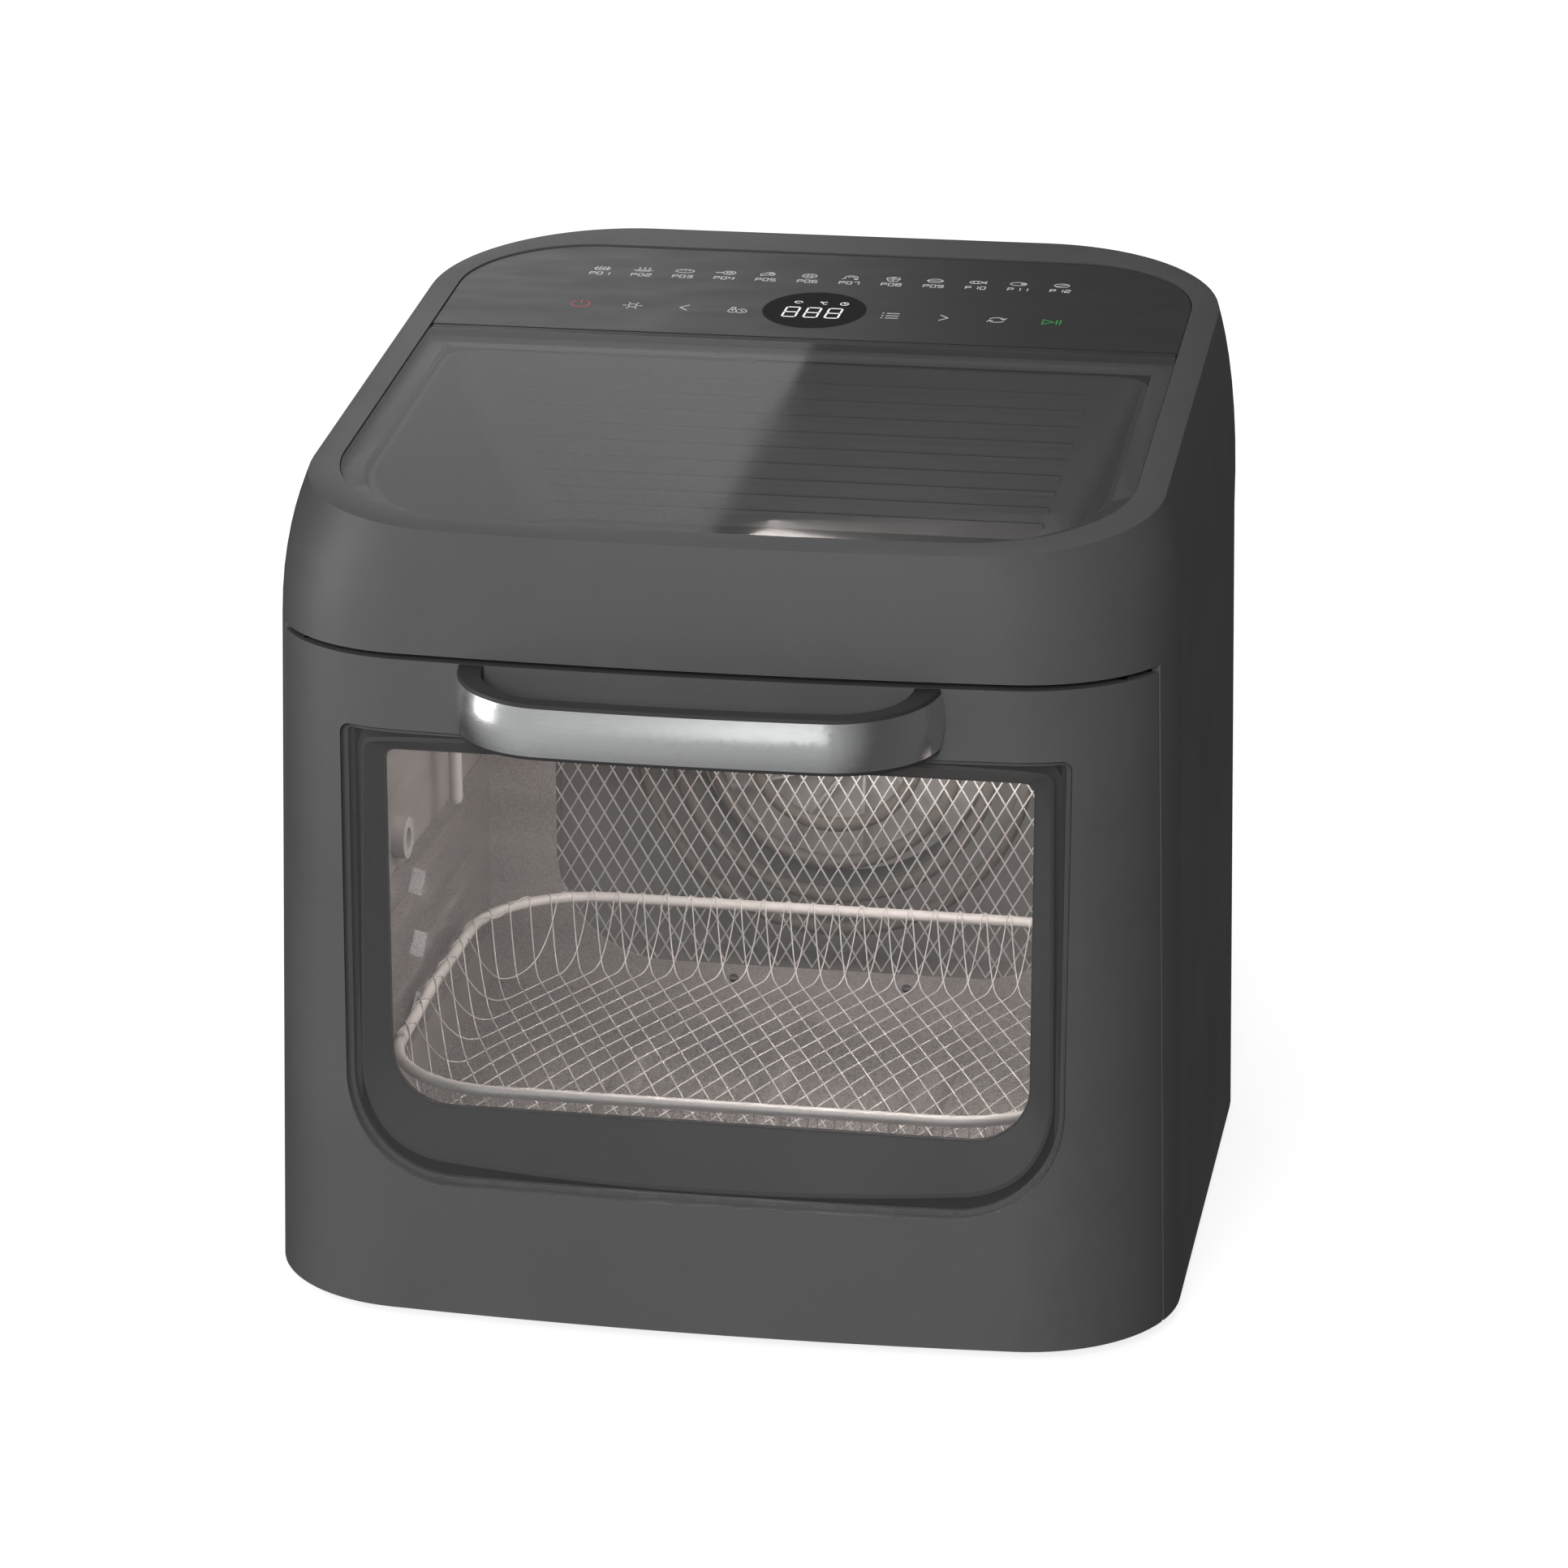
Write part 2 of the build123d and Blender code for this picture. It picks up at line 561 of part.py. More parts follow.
with BuildPart() as motor_mount:
    slab(FAN_X - 62, FAN_X + 62, 160, 161.5, FAN_Z - 12, FAN_Z + 12)
    for x in (-61.25, 61.25):
        slab(FAN_X + x - 0.75, FAN_X + x + 0.75, CHAMBER_REAR, 160, FAN_Z - 12, FAN_Z + 12)
    rod_y(FAN_X, FAN_Z, 8, 150, 170, mode=Mode.SUBTRACT)
save(motor_mount, "motor_mount")

FLANGE_HALF, FLANGE_LOW, FLANGE_HIGH, FLANGE_T = 148.0, 22.0, 252.0, 1.5
MOUTH_LOW, MOUTH_HIGH = FLOOR_Z, 245.0
MOUTH_MID = (MOUTH_LOW + MOUTH_HIGH) / 2
BULKHEAD_Y, BULKHEAD_HALF = -114.5, 159.0
SWITCH_X, SWITCH_Z = 100.0, 28.0
with BuildPart() as front_frame:
    with BuildSketch(Plane.XZ.offset(-FRAME_Y)):
        with Locations((0, (FLANGE_LOW + FLANGE_HIGH) / 2)):
            Rectangle(2 * FLANGE_HALF, FLANGE_HIGH - FLANGE_LOW)
    extrude(amount=-FLANGE_T)
    slab(-FLANGE_HALF, FLANGE_HALF, FRAME_Y, BULKHEAD_Y, FLANGE_LOW, FLANGE_HIGH)
    inner_half, inner_low, inner_high = FLANGE_HALF - FLANGE_T, FLANGE_LOW + 1, FLANGE_HIGH - 1
    slab(-inner_half, inner_half, FRAME_Y + FLANGE_T, BULKHEAD_Y, inner_low, inner_high, mode=Mode.SUBTRACT)
    with BuildSketch(Plane.XZ.offset(-FRAME_Y)):
        with Locations((0, MOUTH_MID)):
            RectangleRounded(2 * CAVITY_HALF, MOUTH_HIGH - MOUTH_LOW, 12)
        with Locations((SWITCH_X, SWITCH_Z)):
            Circle(2.6)
    extrude(amount=-FLANGE_T, mode=Mode.SUBTRACT)
    with BuildSketch(Plane.XZ.offset(-BULKHEAD_Y)):
        with Locations((0, (PAN_TOP + DOOR_TOP) / 2)):
            Rectangle(2 * BULKHEAD_HALF, DOOR_TOP - PAN_TOP - 6)
        with Locations((0, (inner_low + inner_high) / 2)):
            Rectangle(2 * inner_half, inner_high - inner_low, mode=Mode.SUBTRACT)
        with Locations((-HINGE_X, PAN_TOP + 5), (HINGE_X, PAN_TOP + 5)):
            Rectangle(8, 14, mode=Mode.SUBTRACT)
    extrude(amount=-FLANGE_T)
    add(frame_limit.part, mode=Mode.INTERSECT)
save(front_frame, "front_frame")

WOOL = 9.0
with BuildPart() as cavity_insulation:
    wool_half = CAVITY_HALF + WOOL
    slab(-wool_half, wool_half, -100, CAVITY_REAR - 2, FLOOR_Z - WOOL, CEILING_Z + SHEET)
    slab(-WRAP_HALF, WRAP_HALF, FRAME_Y, CAVITY_REAR, FLOOR_Z - SHEET, CEILING_Z + 5, mode=Mode.SUBTRACT)
    rod_x(SPIT_Y, SPIT_Z, 36, -150, 150, mode=Mode.SUBTRACT)
    rod_x(LAMP_Y, LAMP_Z, 24, -150, -130, mode=Mode.SUBTRACT)
save(cavity_insulation, "cavity_insulation")

RIB_H, RIB_OUT = 3.0, 6.0
RIB_REAR = 75.0
RIB_FRONT = -104.0
KINK_Y, KINK_DROP = -24.0, 7.0


def rack_guide(side):
    """Pressed side panel with ribs that step down towards the door."""
    wall = side * CAVITY_HALF
    slab(wall, wall - side * SHEET, -122, 104, 62, 140)
    for level in RIB_LEVELS:
        top, low = level + RIB_H, level - RIB_H
        top_front, low_front = top - KINK_DROP, low - KINK_DROP
        with BuildSketch(Plane.YZ.offset(wall - side * SHEET)) as rib:
            with BuildLine():
                Polyline((RIB_REAR, top), (KINK_Y, top), (KINK_Y - 9, top_front), (RIB_FRONT, top_front))
                Polyline((RIB_FRONT, top_front), (RIB_FRONT, low_front), (KINK_Y - 7, low_front))
                Polyline((KINK_Y - 7, low_front), (KINK_Y + 2, low), (RIB_REAR, low), (RIB_REAR, top))
            make_face()
        extrude(rib.sketch, amount=-side * (RIB_OUT - SHEET), taper=18)


with BuildPart() as left_rack_guide:
    rack_guide(-1)
save(left_rack_guide, "left_rack_guide")
with BuildPart() as right_rack_guide:
    rack_guide(1)
save(right_rack_guide, "right_rack_guide")

with BuildPart() as lamp_socket:
    rod_x(LAMP_Y, LAMP_Z, 20, -150, -139)
    rod_x(LAMP_Y, LAMP_Z, 15, -148, -130, mode=Mode.SUBTRACT)
    rod_x(LAMP_Y, LAMP_Z, 5, -158, -148)
save(lamp_socket, "lamp_socket")
with BuildPart() as lamp_bulb:
    rod_x(LAMP_Y, LAMP_Z, 4, -148, -144)
    with Locations((-142.3, LAMP_Y, LAMP_Z)):
        Sphere(5)
save(lamp_bulb, "lamp_bulb")
with BuildPart() as lamp_lens:
    rod_x(LAMP_Y, LAMP_Z, 20, -138, -135)
    rod_x(LAMP_Y, LAMP_Z, 14, -139, -136.5, mode=Mode.SUBTRACT)
save(lamp_lens, "lamp_lens")

PROBE_R, PROBE_TIP = 2.6, 150.0
with BuildPart() as temperature_probe:
    rod_z(-128, 11, PROBE_R, PROBE_TIP, CEILING_Z)
    with Locations((-128, 11, PROBE_TIP)):
        Sphere(PROBE_R)
save(temperature_probe, "temperature_probe")

with BuildPart() as thermal_cutout:
    rod_z(-60, 84, 8, CEILING_Z + SHEET, CEILING_Z + SHEET + 9)
    slab(-66, -54, 74, 94, CEILING_Z + SHEET + 9, CEILING_Z + SHEET + 11)
save(thermal_cutout, "thermal_cutout")

BOARD_LOW, BOARD_TOP = 282.0, 283.6
POWER_BLOCKS = ((-50, 122, 24, 30, 9), (-12, 110, 18, 18, 8), (20, 124, 30, 22, 9), (64, 116, 22, 26, 8))
with BuildPart() as power_board:
    slab(-70, 92, 96, 150, BOARD_LOW, BOARD_TOP)
    for x, y, w, d, h in POWER_BLOCKS:
        slab(x - w / 2, x + w / 2, y - d / 2, y + d / 2, BOARD_TOP, BOARD_TOP + h)
save(power_board, "power_board")
with BuildPart() as power_board_tray:
    slab(-76, 98, 92, 154, 272, 273.2)
    for x in (-64, 86):
        for y in (102, 144):
            rod_z(x, y, 3, 273.2, BOARD_LOW)
    for x in (-75.4, 97.4):
        slab(x - 0.6, x + 0.6, 92, 154, 251, 272)
    slab(-76, 98, 92, 108, 250, 251.2)
save(power_board_tray, "power_board_tray")

# ---------------------------------------------------------------- rotisserie drive
with BuildPart() as rotisserie_motor:
    rod_x(SPIT_Y, SPIT_Z, 24, 141, 156)
    slab(141, 146, SPIT_Y - 32, SPIT_Y + 32, SPIT_Z - 6, SPIT_Z + 6)
    rod_x(SPIT_Y, SPIT_Z, 4 + RUNNING, 130, 152, mode=Mode.SUBTRACT)
    slab(139, 141, SPIT_Y - 32, SPIT_Y - 26, SPIT_Z - 6, SPIT_Z + 6)
    slab(139, 141, SPIT_Y + 26, SPIT_Y + 32, SPIT_Z - 6, SPIT_Z + 6)
save(rotisserie_motor, "rotisserie_motor")
with BuildPart() as spit_drive_socket:
    rod_x(SPIT_Y, SPIT_Z, 4, 136, 151)
    rod_x(SPIT_Y, SPIT_Z, 9, 126, 136.6)
    slab(120, 133, SPIT_Y - 4, SPIT_Y + 4, SPIT_Z - 4, SPIT_Z + 4, mode=Mode.SUBTRACT)
save(spit_drive_socket, "spit_drive_socket")
with BuildPart() as spit_bearing:
    rod_x(SPIT_Y, SPIT_Z, 8, -CAVITY_HALF, -CAVITY_HALF + 5)
    rod_x(SPIT_Y, SPIT_Z, 5.9, -CAVITY_HALF - 4, -CAVITY_HALF)
    rod_x(SPIT_Y, SPIT_Z, 4, -CAVITY_HALF - 1, -CAVITY_HALF + 9, mode=Mode.SUBTRACT)
save(spit_bearing, "spit_bearing")

# ---------------------------------------------------------------- door
with BuildPart() as door_hollow:
    add(inner_lower.part)
    slab(-200, 200, -260, 260, DOOR_TOP - 2.4, 300, mode=Mode.SUBTRACT)
with BuildPart() as window_ring:
    window_prism(5)
    add(pane_face.part, mode=Mode.INTERSECT)
    add(ledge_back.part, mode=Mode.SUBTRACT)
with BuildPart() as window_pocket:
    window_prism(0)
    add(pocket_floor.part, mode=Mode.SUBTRACT)
with BuildPart() as door_outer_shell:
    add(outer_lower.part)
    add(door_hollow.part, mode=Mode.SUBTRACT)
    add(window_ring.part)
    add(window_pocket.part, mode=Mode.SUBTRACT)
    window_prism(-LEDGE, mode=Mode.SUBTRACT)
    slab(-200, 200, DOOR_EDGE_Y, 260, 0, 300, mode=Mode.SUBTRACT)
    slab(-200, 200, -260, 260, DOOR_TOP, 300, mode=Mode.SUBTRACT)
    slab(-149, 149, -129.5, -100, DOOR_TOP - 4, 300, mode=Mode.SUBTRACT)
    for x in (-SCREW_X, SCREW_X):
        rod_y(x, HANDLE_SCREW_Z, 2, -170, -140, mode=Mode.SUBTRACT)
save(door_outer_shell, "door_outer_shell")

with BuildPart() as window_outer_glass:
    window_prism(-SHY)
    add(pane_face.part, mode=Mode.INTERSECT)
    add(pocket_floor.part, mode=Mode.SUBTRACT)
save(window_outer_glass, "window_outer_glass")

INNER_FRONT, INNER_BACK = -143.0, -130.5
RING_FRONT = -137.0
INNER_LOW, INNER_HIGH = 22.5, 252.4
with BuildPart() as ledge_zone:
    window_prism(5.6)
    add(ledge_clear.part, mode=Mode.SUBTRACT)
with BuildPart() as door_inner_frame:
    with BuildSketch(Plane.XZ.offset(-INNER_BACK)):
        window_outline(150, INNER_LOW, INNER_HIGH, 10, 4)
    extrude(amount=INNER_BACK - INNER_FRONT)
    with BuildSketch(Plane.XZ.offset(-INNER_BACK + 2)):
        window_outline(128, INNER_LOW + 3, INNER_HIGH - 3, 8, 8)
    extrude(amount=20, mode=Mode.SUBTRACT)
    with BuildSketch(Plane.XZ.offset(-INNER_BACK + 2)):
        window_outline(CLEAR_HALF + 10, CLEAR_LOW - 10, CLEAR_HIGH + 10, CLEAR_LOW_R + 10, 10)
    extrude(amount=INNER_BACK - RING_FRONT - 2)
    with BuildSketch(Plane.XZ.offset(-INNER_BACK)):
        window_outline(CLEAR_HALF, CLEAR_LOW, CLEAR_HIGH, CLEAR_LOW_R, 4)
    extrude(amount=40, mode=Mode.SUBTRACT)
    with BuildSketch(Plane.XZ.offset(-INNER_BACK)):
        window_outline(CLEAR_HALF + 6, CLEAR_LOW - 6, CLEAR_HIGH + 6, CLEAR_LOW_R + 6, 8)
    extrude(amount=4, mode=Mode.SUBTRACT)
    add(ledge_zone.part, mode=Mode.SUBTRACT)
    add(frame_limit.part, mode=Mode.INTERSECT)
save(door_inner_frame, "door_inner_frame")

with BuildPart() as window_inner_glass:
    with BuildSketch(Plane.XZ.offset(-INNER_BACK)):
        lap = 5.8
        window_outline(CLEAR_HALF + lap, CLEAR_LOW - lap, CLEAR_HIGH + lap, CLEAR_LOW_R + lap, 7.8)
    extrude(amount=4)
save(window_inner_glass, "window_inner_glass")

with BuildPart() as window_bezel:
    for grow, mode in ((0.0, Mode.ADD), (-1.6, Mode.SUBTRACT)):
        with BuildSketch(Plane.XZ.offset(-RING_FRONT)):
            rim = 2 + grow
            window_outline(CLEAR_HALF + rim, CLEAR_LOW - rim, CLEAR_HIGH + rim, CLEAR_LOW_R + rim, 4)
        with BuildSketch(Plane.XZ.offset(-RING_FRONT + 16)):
            window_outline(137 + grow, 58 - grow, 229.5 + grow, WINDOW_LOW_R + grow, 4)
        loft(ruled=True, mode=mode)
    add(pocket_floor.part, mode=Mode.INTERSECT)
    add(ledge_back.part, mode=Mode.INTERSECT)
save(window_bezel, "window_bezel")

with BuildPart() as door_gasket:
    with BuildSketch(Plane.XZ.offset(-INNER_BACK)):
        with Locations((0, MOUTH_MID)):
            RectangleRounded(2 * CAVITY_HALF + 9, MOUTH_HIGH - MOUTH_LOW + 9, 16)
            RectangleRounded(2 * CAVITY_HALF + 3, MOUTH_HIGH - MOUTH_LOW + 3, 13, mode=Mode.SUBTRACT)
    extrude(amount=-(FRAME_Y - 0.3 - INNER_BACK))
save(door_gasket, "door_gasket")


HANDLE_ROOT = 50.0          # the loop is drawn this far back, into the door, and cut off there


def handle_plan(half, front, radius):
    """Loop handle in plan, measured from its front: bowed front, round ends, open to the door."""
    side = front + HANDLE_BOW
    with BuildLine() as edge:
        ThreePointArc((-half, side), (0, front), (half, side))
        Polyline((half, side), (half, HANDLE_ROOT), (-half, HANDLE_ROOT), (-half, side))
    make_face(edge.edges())
    fillet(vertices().group_by(Axis.Y)[0], radius=radius)


def handle_form(grow, low, high, mode=Mode.ADD):
    """Barrel-sided handle between two heights at its front, offset inwards by grow."""
    middle = (HANDLE_LOW + HANDLE_HIGH) / 2
    sections = []
    for step in range(5):
        z = low + (high - low) * step / 4
        tip = radians(HANDLE_TILT) * (z - HANDLE_LOW) / (HANDLE_HIGH - HANDLE_LOW)
        sink = grow + HANDLE_BARREL * ((z - middle) / (HANDLE_HIGH - middle)) ** 2
        level = Plane(origin=(0, HANDLE_FRONT, z), x_dir=(1, 0, 0), z_dir=(0, -sin(tip), cos(tip)))
        with BuildSketch(level) as section:
            handle_plan(HANDLE_HALF - sink, sink, HANDLE_CORNER_R - sink)
        sections.append(section.sketch)
    loft(sections, mode=mode)


TRIM_LOW, TRIM_HIGH = HANDLE_LOW + LIP, HANDLE_HIGH - LIP
with BuildPart() as trim_core:
    handle_form(TRIM, TRIM_LOW, TRIM_HIGH)
with BuildPart() as trim_band:
    handle_form(0, TRIM_LOW, TRIM_HIGH)
    add(trim_core.part, mode=Mode.SUBTRACT)
with BuildPart() as trim_groove:
    handle_form(-1, TRIM_LOW, TRIM_HIGH)
    add(trim_core.part, mode=Mode.SUBTRACT)

with BuildPart() as handle_grip:
    handle_form(0, HANDLE_LOW, HANDLE_HIGH)
    with BuildSketch(Plane(origin=(0, HANDLE_FRONT, HANDLE_LOW - 1))):
        handle_plan(HANDLE_HALF - HANDLE_END, HANDLE_THICK, HANDLE_INNER_R)
    extrude(amount=HANDLE_HIGH - HANDLE_LOW + 10, mode=Mode.SUBTRACT)
    add(trim_groove.part, mode=Mode.SUBTRACT)
    add(outer_lower.part, mode=Mode.SUBTRACT)
    for x in (-SCREW_X, SCREW_X):
        rod_y(x, HANDLE_SCREW_Z, 2, -161, -140, mode=Mode.SUBTRACT)
save(handle_grip, "handle_grip")

with BuildPart() as handle_trim:
    add(trim_band.part)
    add(outer_lower.part, mode=Mode.SUBTRACT)
save(handle_trim, "handle_trim")

with BuildPart() as handle_screws:
    for x in (-SCREW_X, SCREW_X):
        rod_y(x, HANDLE_SCREW_Z, 2, -161, -147)
        rod_y(x, HANDLE_SCREW_Z, 4, -148.2, -145.8)
save(handle_screws, "handle_screws")

# ---------------------------------------------------------------- hinges and catches
with BuildPart() as hinge_brackets:
    for side in (-1, 1):
        x0, x1 = side * (HINGE_X - 3), side * (HINGE_X + 3)
        slab(x0, x1, HINGE_Y, -96, HINGE_Z - 3.5, HINGE_Z + 3.5)
        rod_x(HINGE_Y, HINGE_Z, 4.5, x0, x1)
        slab(x0 - side * 6, x1 + side * 6, -112.5, -96, PAN_TOP, PAN_TOP + 2)
        rod_x(HINGE_Y, HINGE_Z, PIN_R, -200, 200, mode=Mode.SUBTRACT)
save(hinge_brackets, "hinge_brackets")
with BuildPart() as hinge_pins:
    for side in (-1, 1):
        rod_x(HINGE_Y, HINGE_Z, PIN_R, side * (HINGE_X - 11), side * (HINGE_X + 18))
save(hinge_pins, "hinge_pins")
with BuildPart() as hinge_eyes:
    for side in (-1, 1):
        for offset in (-7, 7):
            a, b = side * (HINGE_X + offset - 3), side * (HINGE_X + offset + 3)
            rod_x(HINGE_Y, HINGE_Z, EYE_R, a, b)
            slab(a, b, HINGE_Y - 2, INNER_BACK - 1, HINGE_Z + 2.8, INNER_LOW)
        rod_x(HINGE_Y, HINGE_Z, PIN_R + RUNNING, -200, 200, mode=Mode.SUBTRACT)
save(hinge_eyes, "hinge_eyes")

with BuildPart() as hinge_springs:
    for side in (-1, 1):
        rod_x(HINGE_Y, HINGE_Z, 4.2, side * (HINGE_X + 10.6), side * (HINGE_X + 17))
    rod_x(HINGE_Y, HINGE_Z, PIN_R + 0.2, -200, 200, mode=Mode.SUBTRACT)
    for side in (-1, 1):
        tail_in, tail_out = side * (HINGE_X + 15.8), side * (HINGE_X + 17)
        slab(tail_in, tail_out, HINGE_Y + 3.2, -110, HINGE_Z - 3.5, HINGE_Z - 2.3)
save(hinge_springs, "hinge_springs")

with BuildPart() as door_switch:
    slab(SWITCH_X - 9, SWITCH_X + 9, FRAME_Y + 3, FRAME_Y + 20, SWITCH_Z - 4.6, SWITCH_Z + 5)
    rod_y(SWITCH_X, SWITCH_Z, 2.0 + RUNNING, FRAME_Y, FRAME_Y + 16, mode=Mode.SUBTRACT)
save(door_switch, "door_switch")
with BuildPart() as switch_plunger:
    rod_y(SWITCH_X, SWITCH_Z, 2.0, FRAME_Y - 3.2, FRAME_Y + 14)
save(switch_plunger, "switch_plunger")

# ---------------------------------------------------------------- basket
RIM_Z = RIB_LEVELS[-1] + RIB_H + RIM_WIRE_R + 0.3
with BuildPart() as basket_rim:
    with BuildSketch(Plane.XY.offset(RIM_Z - RIM_WIRE_R)):
        outline(BASKET_HALF, BASKET_FRONT, BASKET_REAR, BASKET_R, BASKET_R, 8 * BOW_R)
    extrude(amount=2 * RIM_WIRE_R)
    with BuildSketch(Plane.XY.offset(RIM_Z - RIM_WIRE_R - 1)):
        outline(BASKET_HALF, BASKET_FRONT, BASKET_REAR, BASKET_R, BASKET_R, 8 * BOW_R, -2 * RIM_WIRE_R)
    extrude(amount=2 * RIM_WIRE_R + 2, mode=Mode.SUBTRACT)
save(basket_rim, "basket_rim")


def basket_form(grow, low, high, mode=Mode.ADD):
    """Tapered tray with round corners, grown by grow."""
    with BuildSketch(Plane.XY.offset(low)) as floor:
        outline(105 + grow, -94 - grow, 65 + grow, 34, 34, 8 * BOW_R)
    with BuildSketch(Plane.XY.offset(high)) as lip:
        outline(124.5 + grow, BASKET_FRONT + 8.5 - grow, BASKET_REAR - 8.5 + grow, 40, 40, 8 * BOW_R)
    loft([floor.sketch, lip.sketch], ruled=True, mode=mode)


with BuildPart() as basket_mesh:
    basket_form(1.5, RIM_Z - BASKET_DEPTH, RIM_Z)
    basket_form(0.0, RIM_Z - BASKET_DEPTH + 1.5, RIM_Z + 0.01, Mode.SUBTRACT)
save(basket_mesh, "basket_mesh")
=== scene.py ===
import json
import math

import bmesh
import bpy
from mathutils import Matrix, Vector


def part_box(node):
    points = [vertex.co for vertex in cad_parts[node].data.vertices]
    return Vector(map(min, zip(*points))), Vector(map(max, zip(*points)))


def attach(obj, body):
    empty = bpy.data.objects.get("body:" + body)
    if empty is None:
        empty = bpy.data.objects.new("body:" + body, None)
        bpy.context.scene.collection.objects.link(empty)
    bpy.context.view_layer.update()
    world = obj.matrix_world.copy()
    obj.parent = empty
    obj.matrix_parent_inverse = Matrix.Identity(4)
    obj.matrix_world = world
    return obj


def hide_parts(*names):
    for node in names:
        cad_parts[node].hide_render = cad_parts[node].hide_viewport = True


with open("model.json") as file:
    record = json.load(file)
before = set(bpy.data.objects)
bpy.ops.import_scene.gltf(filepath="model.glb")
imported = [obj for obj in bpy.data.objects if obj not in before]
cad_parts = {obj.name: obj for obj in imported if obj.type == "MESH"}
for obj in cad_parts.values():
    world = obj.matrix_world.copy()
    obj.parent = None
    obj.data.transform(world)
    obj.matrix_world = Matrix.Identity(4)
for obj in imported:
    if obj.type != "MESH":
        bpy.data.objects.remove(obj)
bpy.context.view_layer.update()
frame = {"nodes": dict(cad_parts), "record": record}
MM = 0.001
BODY = "body"
BASKET = "basket"
DOOR = "door"


# ---------------------------------------------------------------- node helpers
class Surface:
    """A Principled material and short calls for the nodes that feed it."""

    def __init__(self, name):
        self.material = bpy.data.materials.new(name)
        self.material.use_nodes = True
        self.tree = self.material.node_tree
        self.tree.nodes.clear()
        self.output = self.tree.nodes.new("ShaderNodeOutputMaterial")
        self.shader = self.tree.nodes.new("ShaderNodeBsdfPrincipled")
        self.link(self.shader.outputs[0], self.output.inputs[0])

    def link(self, source, target):
        self.tree.links.new(source, target)

    def node(self, kind, **settings):
        made = self.tree.nodes.new(kind)
        for key, value in settings.items():
            setattr(made, key, value)
        return made

    def set(self, **values):
        for key, value in values.items():
            self.shader.inputs[key.replace("_", " ")].default_value = value

    def position(self, stretch=(1, 1, 1)):
        """Object coordinates, which for every piece are the row frame in metres."""
        place = self.node("ShaderNodeTexCoord")
        mapping = self.node("ShaderNodeMapping")
        mapping.inputs["Scale"].default_value = stretch
        self.link(place.outputs["Object"], mapping.inputs["Vector"])
        return mapping.outputs[0]

    def noise(self, vector, scale, detail=2.0, roughness=0.5):
        made = self.node("ShaderNodeTexNoise")
        made.inputs["Scale"].default_value = scale
        made.inputs["Detail"].default_value = detail
        made.inputs["Roughness"].default_value = roughness
        self.link(vector, made.inputs["Vector"])
        return made.outputs[0]

    def cells(self, vector, scale):
        made = self.node("ShaderNodeTexVoronoi")
        made.inputs["Scale"].default_value = scale
        self.link(vector, made.inputs["Vector"])
        return made.outputs["Distance"]

    def ramp(self, value, stops):
        made = self.node("ShaderNodeValToRGB")
        bar = made.color_ramp.elements
        while len(bar) < len(stops):
            bar.new(1.0)
        for element, (place, colour) in zip(bar, stops):
            element.position = place
            element.color = (*colour, 1) if len(colour) == 3 else colour
        self.link(value, made.inputs[0])
        return made.outputs[0]

    def grey(self, value, low, high, start=0.3, end=0.7):
        return self.ramp(value, [(start, (low,) * 3), (end, (high,) * 3)])

    def mix(self, one, other, factor=0.5):
        made = self.node("ShaderNodeMix", data_type="RGBA")
        made.inputs["Factor"].default_value = factor
        self.link(one, made.inputs["A"])
        self.link(other, made.inputs["B"])
        return made.outputs["Result"]

    def colour(self, value, stops):
        self.link(self.ramp(value, stops), self.shader.inputs["Base Color"])

    def rough(self, value, low, high):
        self.link(self.grey(value, low, high), self.shader.inputs["Roughness"])

    def bump(self, height, distance, strength=1.0):
        made = self.node("ShaderNodeBump")
        made.inputs["Strength"].default_value = strength
        made.inputs["Distance"].default_value = distance
        self.link(height, made.inputs["Height"])
        self.link(made.outputs[0], self.shader.inputs["Normal"])


def shade_smooth(made):
    for face in made.data.polygons:
        face.use_smooth = True


# ---------------------------------------------------------------- materials
def spark_plastic(name, low, high, rough_low, rough_high, grain=1900, depth=0.00005):
    """Moulded plastic: fine eroded grain, faint cloudiness and soft sheen."""
    m = Surface(name)
    at = m.position()
    fine = m.noise(at, grain, 3, 0.6)
    cloud = m.noise(at, 14, 3, 0.55)
    both = m.mix(fine, cloud, 0.55)
    m.colour(both, [(0.35, (low, low, low * 1.02)), (0.65, (high, high, high * 1.02))])
    m.rough(cloud, rough_low, rough_high)
    m.bump(fine, depth, 0.5)
    return m


def body_plastic():
    return spark_plastic("charcoal_plastic", 0.083, 0.099, 0.40, 0.50)


def inner_plastic():
    return spark_plastic("black_plastic", 0.030, 0.040, 0.42, 0.55, 1300)


def ribbed_liner():
    return spark_plastic("dark_liner", 0.036, 0.048, 0.45, 0.60, 1500)


def white_plastic():
    return spark_plastic("white_plastic", 0.70, 0.78, 0.35, 0.45, 1100)


def rubber():
    return spark_plastic("foot_rubber", 0.018, 0.028, 0.75, 0.9, 900, 0.0001)


def gasket():
    return spark_plastic("silicone_gasket", 0.05, 0.07, 0.6, 0.7, 700, 0.00008)


def panel_glass():
    """Back-printed glass: dark, smooth, with faint smears in the gloss."""
    m = Surface("printed_glass")
    smear = m.noise(m.position((3, 9, 3)), 9, 4, 0.6)
    speck = m.noise(m.position(), 900, 2)
    m.colour(m.mix(smear, speck, 0.4), [(0.3, (0.030, 0.030, 0.031)), (0.7, (0.038, 0.038, 0.039))])
    m.rough(smear, 0.34, 0.42)
    return m


def display_glass():
    m = Surface("display_glass")
    speck = m.noise(m.position(), 600, 2)
    m.colour(speck, [(0.3, (0.012, 0.012, 0.012)), (0.7, (0.017, 0.017, 0.017))])
    m.rough(speck, 0.62, 0.72)
    m.set(Specular_IOR_Level=0.2)
    return m


